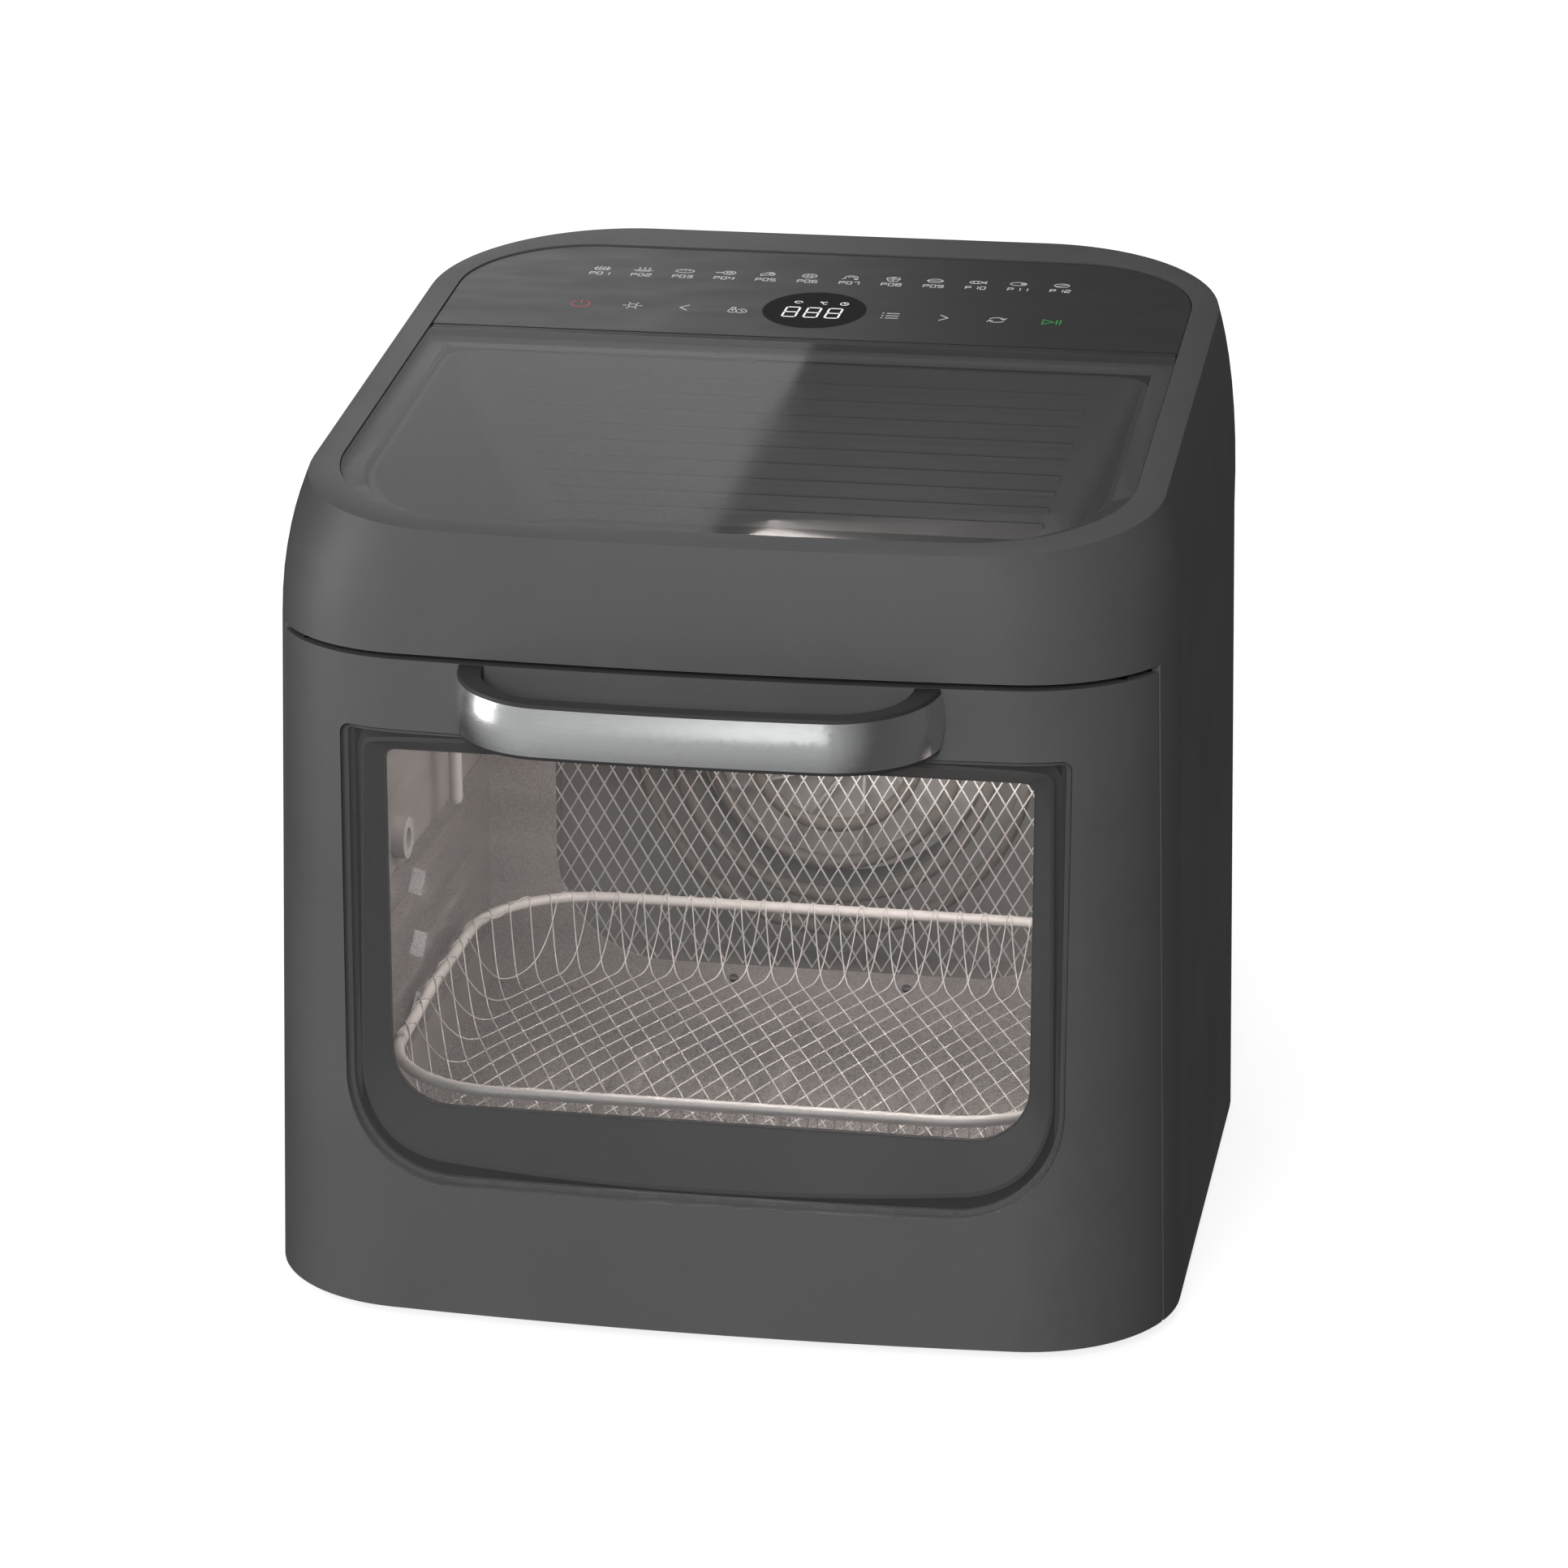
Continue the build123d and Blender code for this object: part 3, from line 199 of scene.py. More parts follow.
def pane(name, film, thin, strength, gloss, index=1.5):
    """A see-through pane: a grey film of alpha `thin`, more solid at its glancing edges. In the window
    panes the film is partly the glass's own tint and partly a painted reflection of the bright room,
    thickening towards glancing angles as a reflection would.
    """
    m = Surface(name)
    at = m.position()
    smear = m.noise(at, 16, 3, 0.55)
    m.colour(smear, [(0.3, tuple(c * 0.92 for c in film)), (0.7, film)])
    m.rough(smear, gloss, gloss + 0.05)
    facing = m.node("ShaderNodeLayerWeight")
    facing.inputs["Blend"].default_value = 0.5
    stops = [(0.0, (thin,) * 3), (0.62, (thin + 0.06,) * 3), (1.0, (strength,) * 3)]
    m.link(m.ramp(facing.outputs["Facing"], stops), m.shader.inputs["Alpha"])
    m.set(IOR=index)
    return m


def clear_glass():
    # grey film: the glass's tint plus a painted reflection of the bright room
    return pane("tint_and_painted_veil_glass", (0.17, 0.17, 0.172), 0.09, 0.7, 0.03, 2.0)


def inner_glass():
    # grey film: a painted reflection of the bright room on the inner pane
    return pane("inner_pane_glass", (0.35, 0.35, 0.35), 0.03, 0.4, 0.03)


def cavity_metal():
    """Satin aluminised sheet: speckled, faintly warm, with a soft rolled streak."""
    m = Surface("aluminised_sheet")
    at = m.position()
    speck = m.noise(at, 1500, 3, 0.6)
    cloud = m.noise(m.position((2, 2, 9)), 7, 3)
    m.colour(m.mix(speck, cloud, 0.35), [(0.36, (0.36, 0.335, 0.325)), (0.64, (0.58, 0.55, 0.54))])
    m.rough(speck, 0.34, 0.46)
    m.bump(speck, 0.00004, 0.5)
    m.set(Metallic=0.75)
    return m


def metal(name, tint, rough_low, rough_high, streak=(1, 1, 1), scale=300, depth=0.00003,
          metallic=1.0, spread=0.12):
    """Metal whose tint and roughness wander between two levels at one scale of grain."""
    m = Surface(name)
    at = m.position(streak)
    fine = m.noise(at, scale, 3, 0.6)
    low = tuple(c * (1 - spread) for c in tint)
    m.colour(fine, [(0.3, low), (0.7, tint)])
    m.rough(fine, rough_low, rough_high)
    m.bump(fine, depth, 0.4)
    m.set(Metallic=metallic)
    return m


def bright_wire():
    return metal("plated_wire", (0.74, 0.71, 0.69), 0.30, 0.40, scale=700, metallic=0.6)


def polished_sheet():
    return metal("polished_sheet", (0.64, 0.61, 0.60), 0.24, 0.32, scale=1500, depth=0.00002, metallic=0.92)


def guard_metal():
    return metal("expanded_metal", (0.56, 0.54, 0.53), 0.34, 0.48, scale=900, metallic=0.6)


def shaded_chamber_metal():
    """Sheet behind the guard, painted dark: painted shade for the dim chamber behind the guard."""
    return metal("painted_shade_sheet", (0.22, 0.215, 0.21), 0.40, 0.50, scale=90, metallic=0.4)


def handle_chrome():
    return metal("brushed_chrome", (0.86, 0.87, 0.87), 0.22, 0.28, (1, 1, 30), 90, 0.00001, spread=0.05)


def steel():
    return metal("zinc_steel", (0.55, 0.55, 0.56), 0.3, 0.45)


def black_steel():
    return metal("enamelled_steel", (0.055, 0.055, 0.055), 0.4, 0.55, scale=1200, metallic=0.2)


def element():
    return metal("element_sheath", (0.30, 0.275, 0.25), 0.28, 0.38, scale=120, depth=0.00001,
                 metallic=0.85, spread=0.15)


def aluminium():
    return metal("cast_aluminium", (0.66, 0.65, 0.64), 0.28, 0.38, scale=150, depth=0.00001, metallic=0.8)


def board():
    m = Surface("circuit_board")
    fine = m.cells(m.position(), 260)
    m.colour(fine, [(0.2, (0.02, 0.11, 0.05)), (0.6, (0.03, 0.2, 0.09))])
    m.rough(fine, 0.4, 0.5)
    return m


def wool():
    m = Surface("mineral_wool")
    fibre = m.noise(m.position((1, 1, 6)), 260, 6, 0.75)
    m.colour(fibre, [(0.3, (0.50, 0.46, 0.34)), (0.7, (0.74, 0.70, 0.58))])
    m.rough(fibre, 0.85, 0.95)
    m.bump(fibre, 0.0008)
    return m


def lamp_glass():
    m = pane("lamp_glass", (0.9, 0.88, 0.82), 0.5, 0.9, 0.1)
    m.set(Emission_Color=(1.0, 0.86, 0.68, 1), Emission_Strength=0.6)
    return m


def print_ink(name, colour, glow):
    """Translucent ink lit from behind."""
    m = Surface(name)
    fine = m.noise(m.position(), 3000, 2)
    low = tuple(c * 0.86 for c in colour)
    m.colour(fine, [(0.3, low), (0.7, colour)])
    m.rough(fine, 0.35, 0.5)
    m.set(Emission_Color=(*colour, 1), Emission_Strength=glow)
    return m


LIBRARY = {
    "body": body_plastic(),
    "inner_plastic": inner_plastic(),
    "panel_glass": panel_glass(),
    "clear_glass": clear_glass(),
    "inner_glass": inner_glass(),
    "liner": ribbed_liner(),
    "cavity_metal": cavity_metal(),
    "bright_wire": bright_wire(),
    "handle_chrome": handle_chrome(),
    "steel": steel(),
    "black_steel": black_steel(),
    "element": element(),
    "aluminium": aluminium(),
    "rubber": rubber(),
    "gasket": gasket(),
    "board": board(),
    "display": display_glass(),
    "wool": wool(),
    "lamp": lamp_glass(),
    "white_plastic": white_plastic(),
}
WHITE_INK = print_ink("white_ink", (0.66, 0.66, 0.66), 0.22)
FIGURE_INK = print_ink("figure_ink", (0.85, 0.85, 0.85), 0.6)
RED_INK = print_ink("red_ink", (0.50, 0.05, 0.06), 0.15)
GREEN_INK = print_ink("green_ink", (0.05, 0.32, 0.08), 0.15)

GUARD_METAL = guard_metal()
POLISHED = polished_sheet()
OWN_FINISH = {
    # the fan chamber's dark sheet is painted shade
    "fan_chamber": shaded_chamber_metal(),
    "left_rack_guide": POLISHED,
    "right_rack_guide": POLISHED,
    "cavity_floor": POLISHED,
    "temperature_probe": GUARD_METAL,
    "spit_bearing": GUARD_METAL,
}

for row in frame["record"]["subparts"]:
    cad = frame["nodes"][row["node"]]
    finish = OWN_FINISH.get(row["node"], LIBRARY[row["material_slot"]])
    cad.data.materials.clear()
    cad.data.materials.append(finish.material)


SEAM = 2e-6                 # points nearer than this are one point
REAL_EDGE = 28              # degrees; a sharper fold than this stays an edge


def blend_facets(shell):
    """Shades the narrow faces of a lofted shell as one smooth surface, and keeps its real edges."""
    if "custom_normal" in shell.data.attributes:
        shell.data.attributes.remove(shell.data.attributes["custom_normal"])
    shade_smooth(shell)
    weld = shell.modifiers.new("weld", "WELD")
    weld.merge_threshold = SEAM
    split = shell.modifiers.new("real_edges", "EDGE_SPLIT")
    split.split_angle = math.radians(REAL_EDGE)
    split.use_edge_sharp = False
    weighted = shell.modifiers.new("weighted", "WEIGHTED_NORMAL")
    weighted.weight = 60


for lofted in ("outer_housing", "door_outer_shell", "handle_trim"):
    blend_facets(frame["nodes"][lofted])


# ---------------------------------------------------------------- mesh helpers
def piece(name, bm, surface, slot, body, *replaced):
    """Turns a bmesh into a piece of the object that rides on `body`."""
    bmesh.ops.remove_doubles(bm, verts=bm.verts, dist=1e-7)
    bmesh.ops.recalc_face_normals(bm, faces=bm.faces)
    mesh = bpy.data.meshes.new(name)
    bm.to_mesh(mesh)
    bm.free()
    made = bpy.data.objects.new(name, mesh)
    bpy.context.scene.collection.objects.link(made)
    mesh.materials.append(surface.material)
    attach(made, body)
    if replaced:
        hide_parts(*replaced)
    return made


def tube(bm, points, radius, sides=8, closed=False):
    """A round wire along `points`, with its section carried along without twist."""
    count = len(points)
    rings = []
    side = None
    for i, point in enumerate(points):
        before = points[(i - 1) % count] if closed or i else point
        after = points[(i + 1) % count] if closed or i < count - 1 else point
        ahead = (after - before).normalized()
        if side is None:
            side = ahead.orthogonal().normalized()
        side = (side - ahead * side.dot(ahead)).normalized()
        up = ahead.cross(side)
        ring = []
        for k in range(sides):
            a = 2 * math.pi * k / sides
            ring.append(bm.verts.new(point + (side * math.cos(a) + up * math.sin(a)) * radius))
        rings.append(ring)
    for i in range(count if closed else count - 1):
        one = rings[i]
        two = rings[(i + 1) % count]
        shift = 0
        if closed and i == count - 1:
            near = [(one[0].co - v.co).length for v in two]
            shift = near.index(min(near))
        for k in range(sides):
            n = (k + 1) % sides
            bm.faces.new((one[k], one[n], two[(n + shift) % sides], two[(k + shift) % sides]))
    if not closed:
        bm.faces.new(list(reversed(rings[0])))
        bm.faces.new(rings[-1])


# ---------------------------------------------------------------- handle grip
GRIP_RECESS = 0.00006
GRIP_SLOT = "inner_plastic"


def handle_grip():
    """The grip, with its surface a hair below the face of the bright band around it."""
    cad = frame["nodes"]["handle_grip"]
    bm = bmesh.new()
    bm.from_mesh(cad.data)
    bm.transform(cad.matrix_world)
    bmesh.ops.remove_doubles(bm, verts=bm.verts, dist=SEAM)
    bmesh.ops.recalc_face_normals(bm, faces=bm.faces)
    bm.normal_update()
    for vert in bm.verts:
        vert.co -= vert.normal * GRIP_RECESS
    grip = piece("handle_grip_shell", bm, LIBRARY[GRIP_SLOT], GRIP_SLOT, DOOR, "handle_grip")
    blend_facets(grip)


handle_grip()


# ---------------------------------------------------------------- fan guard of expanded metal
GUARD_HALF = 0.110
GUARD_LOW = 0.051
GUARD_HIGH = 0.238
GUARD_R = 0.046
MESH_W = 0.0072
MESH_H = 0.0124
STRAND = 0.00062
GUARD_LAP = 0.0025
GUARD_STEPS = 4             # points tried per mesh width along a strand
GUARD_REACH = 400           # points tried to each side of a strand's middle
SPARE_COLUMNS = 30          # strands that start beside the guard and lean into it
STRAND_LIFT = 0.0001        # how far the strands of one lean sit behind the others


def inside_guard(x, z, grow):
    """Whether a point is within the rounded opening, grown by `grow`."""
    half = GUARD_HALF + grow
    low = GUARD_LOW - grow
    high = GUARD_HIGH + grow
    r = GUARD_R + grow
    if abs(x) > half or z < low or z > high:
        return False
    cx = half - r
    dx = abs(x) - cx
    dz = max(low + r - z, z - high + r)
    if dx > 0 and dz > 0:
        return dx * dx + dz * dz < r * r
    return True


def strand(bm, start, end, y0, y1):
    """One straight strip of the lattice, with a bevelled face towards the cavity."""
    along = (end - start).normalized()
    across = Vector((-along.z, 0, along.x)) * (STRAND / 2)
    ring = []
    for point in (start, end):
        front = Vector((0, y0, 0))
        middle = Vector((0, y0 + (y1 - y0) * 0.35, 0))
        back = Vector((0, y1, 0))
        corners = (
            point + across * 0.55 + front,
            point + across + middle,
            point + across + back,
            point - across + back,
            point - across + middle,
            point - across * 0.55 + front,
        )
        ring.append([bm.verts.new(c) for c in corners])
    count = len(ring[0])
    for k in range(count):
        n = (k + 1) % count
        bm.faces.new((ring[0][k], ring[0][n], ring[1][n], ring[1][k]))
    bm.faces.new(list(reversed(ring[0])))
    bm.faces.new(ring[1])


def fan_guard():
    bm = bmesh.new()
    low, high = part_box("fan_guard")
    y0, y1 = low.y, high.y
    step = MESH_W / GUARD_STEPS
    columns = int(GUARD_HALF * 2 / MESH_W) + SPARE_COLUMNS
    slope = MESH_H / MESH_W
    for lean in (-1, 1):
        for i in range(-columns, columns):
            x0 = i * MESH_W
            run = []
            for k in range(-GUARD_REACH, GUARD_REACH + 1):
                x = x0 + k * step
                z = (GUARD_LOW + GUARD_HIGH) / 2 + lean * slope * (x - x0)
                if inside_guard(x, z, GUARD_LAP):
                    run.append(Vector((x, 0, z)))
            if len(run) > 2:
                strand(bm, run[0], run[-1], y0 + (STRAND_LIFT if lean < 0 else 0), y1)
    piece("fan_guard_mesh", bm, GUARD_METAL, "cavity_metal", BODY, "fan_guard")


fan_guard()


# ---------------------------------------------------------------- wire basket
RIM_LOW, RIM_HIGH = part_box("basket_rim")
FLOOR_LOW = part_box("basket_mesh")[0]
RIM_R = 0.00225
WIRE_R = 0.00029
RIM_HALF = RIM_HIGH.x - RIM_R
RIM_FRONT = RIM_LOW.y + RIM_R
RIM_REAR = RIM_HIGH.y - RIM_R
RIM_Z = RIM_HIGH.z - RIM_R - WIRE_R
RIM_CORNER = 0.048
WALL_RUN = 0.0150
BASKET_DEPTH = RIM_Z - FLOOR_LOW.z - 0.0012
PITCH_X = RIM_HALF * 2 / 26
PITCH_Y = (RIM_REAR - RIM_FRONT) / 9.5
HOOK_R = RIM_R + WIRE_R
HOOK_FRONT = -0.080         # in front of this the wires end on the inside of the rim
DIP = 0.0038
DIP_START = -0.010
DIP_RUN = 0.070
TRACE_STEP = 0.0006         # spacing of the points tried along a wire
FLAT_STRIDE = 12            # on the flat floor only every twelfth of them is kept
WIRE_END = 0.0016           # how far a wire's end is bent down past the rim
WIRES_BEFORE, WIRES_AFTER = 26, 40


def dip(y):
    """How far the basket steps down towards the door, with the ribs that it rests on."""
    t = min(max((DIP_START - y) / DIP_RUN, 0.0), 1.0)
    return DIP * t * t * (3 - 2 * t)


def side_points(x, rearwards, steps=12):
    """Points along one straight side of the rim, where it steps down."""
    first, last = DIP_START + 0.01, DIP_START - DIP_RUN + 0.004
    if rearwards:
        first, last = last, first
    points = []
    for k in range(steps + 1):
        y = first + (last - first) * k / steps
        points.append(Vector((x, y, RIM_Z - dip(y))))
    return points


def rim_points(steps=14):
    points = []
    corners = (
        (RIM_HALF, RIM_REAR, 0),
        (-RIM_HALF, RIM_REAR, 90),
        (-RIM_HALF, RIM_FRONT, 180),
        (RIM_HALF, RIM_FRONT, 270),
    )
    for x, y, start in corners:
        cx = x - math.copysign(RIM_CORNER, x)
        cy = y - RIM_CORNER if y == RIM_REAR else y + RIM_CORNER
        if x < 0 and y == RIM_FRONT or x > 0 and y == RIM_REAR:
            points += side_points(math.copysign(RIM_HALF, x), x > 0)
        for k in range(steps + 1):
            a = math.radians(start + 90 * k / steps)
            place = Vector((cx + RIM_CORNER * math.cos(a), cy + RIM_CORNER * math.sin(a), RIM_Z))
            place.z -= dip(place.y)
            points.append(place)
    return points


def inset(x, y):
    """Distance inside the rim's centreline; negative outside it."""
    mid = (RIM_FRONT + RIM_REAR) / 2
    half_y = (RIM_REAR - RIM_FRONT) / 2
    dx = abs(x) - (RIM_HALF - RIM_CORNER)
    dy = abs(y - mid) - (half_y - RIM_CORNER)
    if dx > 0 and dy > 0:
        return RIM_CORNER - math.hypot(dx, dy)
    return RIM_CORNER - max(dx, dy)


def wire_height(d):
    """Height of a basket wire at inset d: over the rim, down the wall and round into the floor."""
    if d < HOOK_R:
        return RIM_Z + math.sqrt(max(HOOK_R ** 2 - d * d, 0))
    t = min((d - HOOK_R) / WALL_RUN, 1.0)
    bend = 1 - (1 - t) ** 2.4
    return RIM_Z - BASKET_DEPTH * bend


def basket():
    bm = bmesh.new()
    tube(bm, rim_points(), RIM_R, 14, closed=True)
    rim = piece("basket_rim_wire", bm, LIBRARY["bright_wire"], "bright_wire", BASKET, "basket_rim")
    shade_smooth(rim)
    bm = bmesh.new()
    reach = int((RIM_REAR - RIM_FRONT + 0.01) / TRACE_STEP)
    slope = PITCH_X / PITCH_Y
    for lean in (-1, 1):
        for i in range(-WIRES_BEFORE, WIRES_AFTER):
            x0 = -RIM_HALF + i * PITCH_X
            if lean > 0:
                x0 = -x0
            run = []
            for k in range(-8, reach):
                y = RIM_REAR - k * TRACE_STEP
                x = x0 + lean * slope * (RIM_REAR - y)
                d = inset(x, y)
                if d > (-HOOK_R if y > HOOK_FRONT else RIM_R * 0.8):
                    lift = WIRE_R * 0.9 if lean > 0 else 0
                    run.append((d, Vector((x, y, wire_height(d) - dip(y) + lift))))
            if len(run) < 8:
                continue
            thin = [run[0][1]]
            for k in range(1, len(run) - 1):
                flat = run[k][0] > WALL_RUN + HOOK_R + 0.001
                if not flat or k % FLAT_STRIDE == 0:
                    thin.append(run[k][1])
            thin.append(run[-1][1])
            under = Vector((0, 0, -WIRE_END))
            thin.insert(0, thin[0] + under)
            thin.append(thin[-1] + under)
            tube(bm, thin, WIRE_R, 6)
    wires = piece("basket_wires", bm, LIBRARY["bright_wire"], "bright_wire", BASKET, "basket_mesh")
    shade_smooth(wires)


basket()


# ---------------------------------------------------------------- printed keys and display
TILT = math.radians(7.1)
PANEL_Z = 0.320
GLASS_TOP = 0.4 * MM
PANEL = Matrix((
    (1, 0, 0, 0),
    (0, math.cos(TILT), -math.sin(TILT), 0),
    (0, math.sin(TILT), math.cos(TILT), PANEL_Z),
    (0, 0, 0, 1),
))
INK_LOW = GLASS_TOP + 0.01 * MM
INK_HIGH = GLASS_TOP + 0.06 * MM
LINE = 0.40


def ribbon(bm, points, width=LINE, closed=False):
    """A flat printed line through points (mm, in the panel's own plane)."""
    flat = [Vector(p) for p in points]
    count = len(flat)
    left = []
    right = []
    for i, point in enumerate(flat):
        before = flat[(i - 1) % count] if closed or i else point
        after = flat[(i + 1) % count] if closed or i < count - 1 else point
        one = (point - before).normalized() if (point - before).length else None
        two = (after - point).normalized() if (after - point).length else None
        ahead = ((one or two) + (two or one)).normalized()
        across = Vector((-ahead.y, ahead.x))
        base = one or two
        stretch = 1 / max(abs(across.dot(Vector((-base.y, base.x)))), 0.45)
        left.append(point + across * width / 2 * stretch)
        right.append(point - across * width / 2 * stretch)
    layers = []
    for height in (INK_LOW, INK_HIGH):
        row = []
        for p in left + right:
            row.append(bm.verts.new(PANEL @ Vector((p.x * MM, p.y * MM, height))))
        layers.append(row)
    last = count if closed else count - 1
    for i in range(last):
        n = (i + 1) % count
        loop = (i, n, n + count, i + count)
        bm.faces.new([layers[1][k] for k in reversed(loop)])
        bm.faces.new([layers[0][k] for k in loop])
        bm.faces.new((layers[0][i], layers[0][n], layers[1][n], layers[1][i]))
        far_i, far_n = i + count, n + count
        bm.faces.new((layers[0][far_i], layers[0][far_n], layers[1][far_n], layers[1][far_i]))
    if not closed:
        for i in (0, count - 1):
            bm.faces.new((layers[0][i], layers[0][i + count], layers[1][i + count], layers[1][i]))


def arc(cx, cy, rx, ry, start=0, end=360, steps=20):
    """Points of an ellipse from start to end degrees; a full turn leaves out its repeated point."""
    full = abs(end - start) >= 360
    points = []
    for k in range(steps if full else steps + 1):
        a = math.radians(start + (end - start) * k / steps)
        points.append((cx + rx * math.cos(a), cy + ry * math.sin(a)))
    return points


SEGMENTS = {
    "a": ((0, 2), (1, 2)),
    "b": ((1, 1), (1, 2)),
    "c": ((1, 0), (1, 1)),
    "d": ((0, 0), (1, 0)),
    "e": ((0, 0), (0, 1)),
    "f": ((0, 1), (0, 2)),
    "g": ((0, 1), (1, 1)),
}
GLYPHS = {
    "0": "abcdef", "1": "bc", "2": "abged", "3": "abgcd", "4": "fgbc",
    "5": "afgcd", "6": "afgedc", "7": "abc", "8": "abcdefg", "9": "abcdfg", "P": "abgef",
}


def glyph(bm, mark, x, y, width, height, line=LINE, gap=0.0, slant=0.0):
    """One seven-segment figure with its lower left corner at (x, y)."""
    for name in GLYPHS[mark]:
        (ax, ay), (bx, by) = SEGMENTS[name]
        one = Vector((x + ax * width + slant * ay * height / 2, y + ay * height / 2))
        two = Vector((x + bx * width + slant * by * height / 2, y + by * height / 2))
        trim = (two - one).normalized() * gap
        ribbon(bm, [one + trim, two - trim], line)


def word(bm, text, cx, cy, width, height, pitch, line=LINE):
    start = cx - (pitch * (len(text) - 1) + width) / 2
    for k, mark in enumerate(text):
        glyph(bm, mark, start + k * pitch, cy - height / 2, width, height, line)


def icon_chips(bm, x, y):
    for k in range(4):
        dx = x - 2.6 + 1.5 * k
        ribbon(bm, [(dx, y - 1.6), (dx + 0.5, y + 1.8 + 0.3 * (k % 2))])
    box = [(x - 3.2, y - 0.1), (x + 3.2, y - 0.1), (x + 2.4, y - 2.2), (x - 2.4, y - 2.2)]
    ribbon(bm, box, closed=True)


def icon_grill(bm, x, y):
    ribbon(bm, [(x - 4, y - 0.9), (x + 4, y - 0.9)])
    ribbon(bm, [(x - 3, y - 1.9), (x + 3, y - 1.9)])
    for dx in (-2, 0, 2):
        ribbon(bm, [(x + dx, y), (x + dx + 0.5, y + 0.8), (x + dx, y + 1.5), (x + dx + 0.5, y + 2.3)])


def icon_loaf(bm, x, y):
    ribbon(bm, arc(x, y, 3.7, 1.9), closed=True)
    for dx in (-1.6, 0, 1.6):
        ribbon(bm, [(x + dx, y + 0.5), (x + dx, y + 1.7)])


def icon_pan(bm, x, y):
    ribbon(bm, arc(x + 1.2, y, 2.5, 2.0), closed=True)
    ribbon(bm, arc(x + 1.2, y, 1.2, 0.9), closed=True)
    ribbon(bm, [(x - 1.4, y), (x - 4.4, y)], LINE * 1.5)


def icon_steak(bm, x, y):
    ribbon(bm, [
        (x - 2.6, y - 1.8), (x - 2.9, y + 0.2), (x - 1.2, y + 0.9), (x - 0.4, y + 2.2),
        (x + 1.7, y + 2.1), (x + 2.8, y + 0.4), (x + 2.2, y - 1.1), (x + 0.2, y - 0.6),
    ], closed=True)
    ribbon(bm, arc(x + 1.1, y + 0.8, 0.8, 0.6, steps=12), closed=True)


def icon_pizza(bm, x, y):
    ribbon(bm, arc(x, y, 2.9, 2.3), closed=True)
    for a in range(0, 360, 60):
        c, s = math.cos(math.radians(a)), math.sin(math.radians(a))
        ribbon(bm, [(x + 0.6 * c, y + 0.5 * s), (x + 2.2 * c, y + 1.7 * s)])


def icon_shrimp(bm, x, y):
    ribbon(bm, arc(x, y, 2.6, 2.0, -60, 210))
    ribbon(bm, arc(x, y, 1.3, 0.9, -40, 190, 14))
    ribbon(bm, [(x - 2.2, y - 1.2), (x - 3.6, y - 2.0)])
    ribbon(bm, [(x + 1.2, y - 1.8), (x + 3.0, y - 2.2)])


def icon_cupcake(bm, x, y):
    ribbon(bm, [(x - 2.6, y), (x + 2.6, y), (x + 1.7, y - 2.3), (x - 1.7, y - 2.3)], closed=True)
    ribbon(bm, arc(x - 1.4, y + 0.9, 1.3, 0.9, 0, 200, 10))
    ribbon(bm, arc(x + 1.4, y + 0.9, 1.3, 0.9, -20, 180, 10))
    ribbon(bm, arc(x, y + 1.6, 1.0, 0.8, 0, 180, 8))
    ribbon(bm, [(x, y - 0.2), (x, y - 2.1)])


def icon_pie(bm, x, y):
    ribbon(bm, arc(x, y, 3.0, 2.0, 0, 180, 14))
    ribbon(bm, [(x - 3.2, y), (x + 3.2, y), (x + 2.1, y - 1.9), (x - 2.1, y - 1.9)], closed=True)


def icon_fish(bm, x, y):
    ribbon(bm, arc(x - 0.4, y, 2.6, 1.5), closed=True)
    ribbon(bm, [(x + 2.1, y), (x + 3.7, y + 1.4), (x + 3.3, y), (x + 3.7, y - 1.4)], closed=True)
    ribbon(bm, [(x - 1.6, y - 0.9), (x - 1.2, y), (x - 1.6, y + 0.9)])
    ribbon(bm, [(x + 0.1, y - 0.7), (x + 0.4, y), (x + 0.1, y + 0.7)])


def icon_joint(bm, x, y):
    ribbon(bm, arc(x - 0.4, y, 3.2, 1.8), closed=True)
    ribbon(bm, arc(x + 1.5, y + 0.2, 0.8, 0.6, steps=12), closed=True)


def icon_leaf(bm, x, y):
    ribbon(bm, arc(x, y, 2.9, 2.0, 20, 200, 14))
    ribbon(bm, arc(x, y, 2.9, 2.0, 200, 380, 14))
    ribbon(bm, [(x - 2.4, y - 1.2), (x + 2.2, y + 1.1)])


PROGRAMS = (
    icon_chips, icon_grill, icon_loaf, icon_pan, icon_steak, icon_pizza,
    icon_shrimp, icon_cupcake, icon_pie, icon_fish, icon_joint, icon_leaf,
)
PROGRAM_PITCH = 16.8
PROGRAM_V = 130.6
LABEL_V = 124.4
KEY_V = 88.8


def program_keys(bm):
    for k, draw in enumerate(PROGRAMS):
        x = (k - (len(PROGRAMS) - 1) / 2) * PROGRAM_PITCH
        draw(bm, x, PROGRAM_V)
        word(bm, f"P{k + 1:02d}", x, LABEL_V, 2.0, 2.9, 2.9, 0.44)


def key_lamp(bm, x, y):
    ribbon(bm, arc(x, y, 1.7, 1.7, 0, 360, 16), closed=True)
    for a in range(0, 360, 60):
        c, s = math.cos(math.radians(a)), math.sin(math.radians(a))
        ribbon(bm, [(x + 2.4 * c, y + 2.4 * s), (x + 4.0 * c, y + 4.0 * s)])


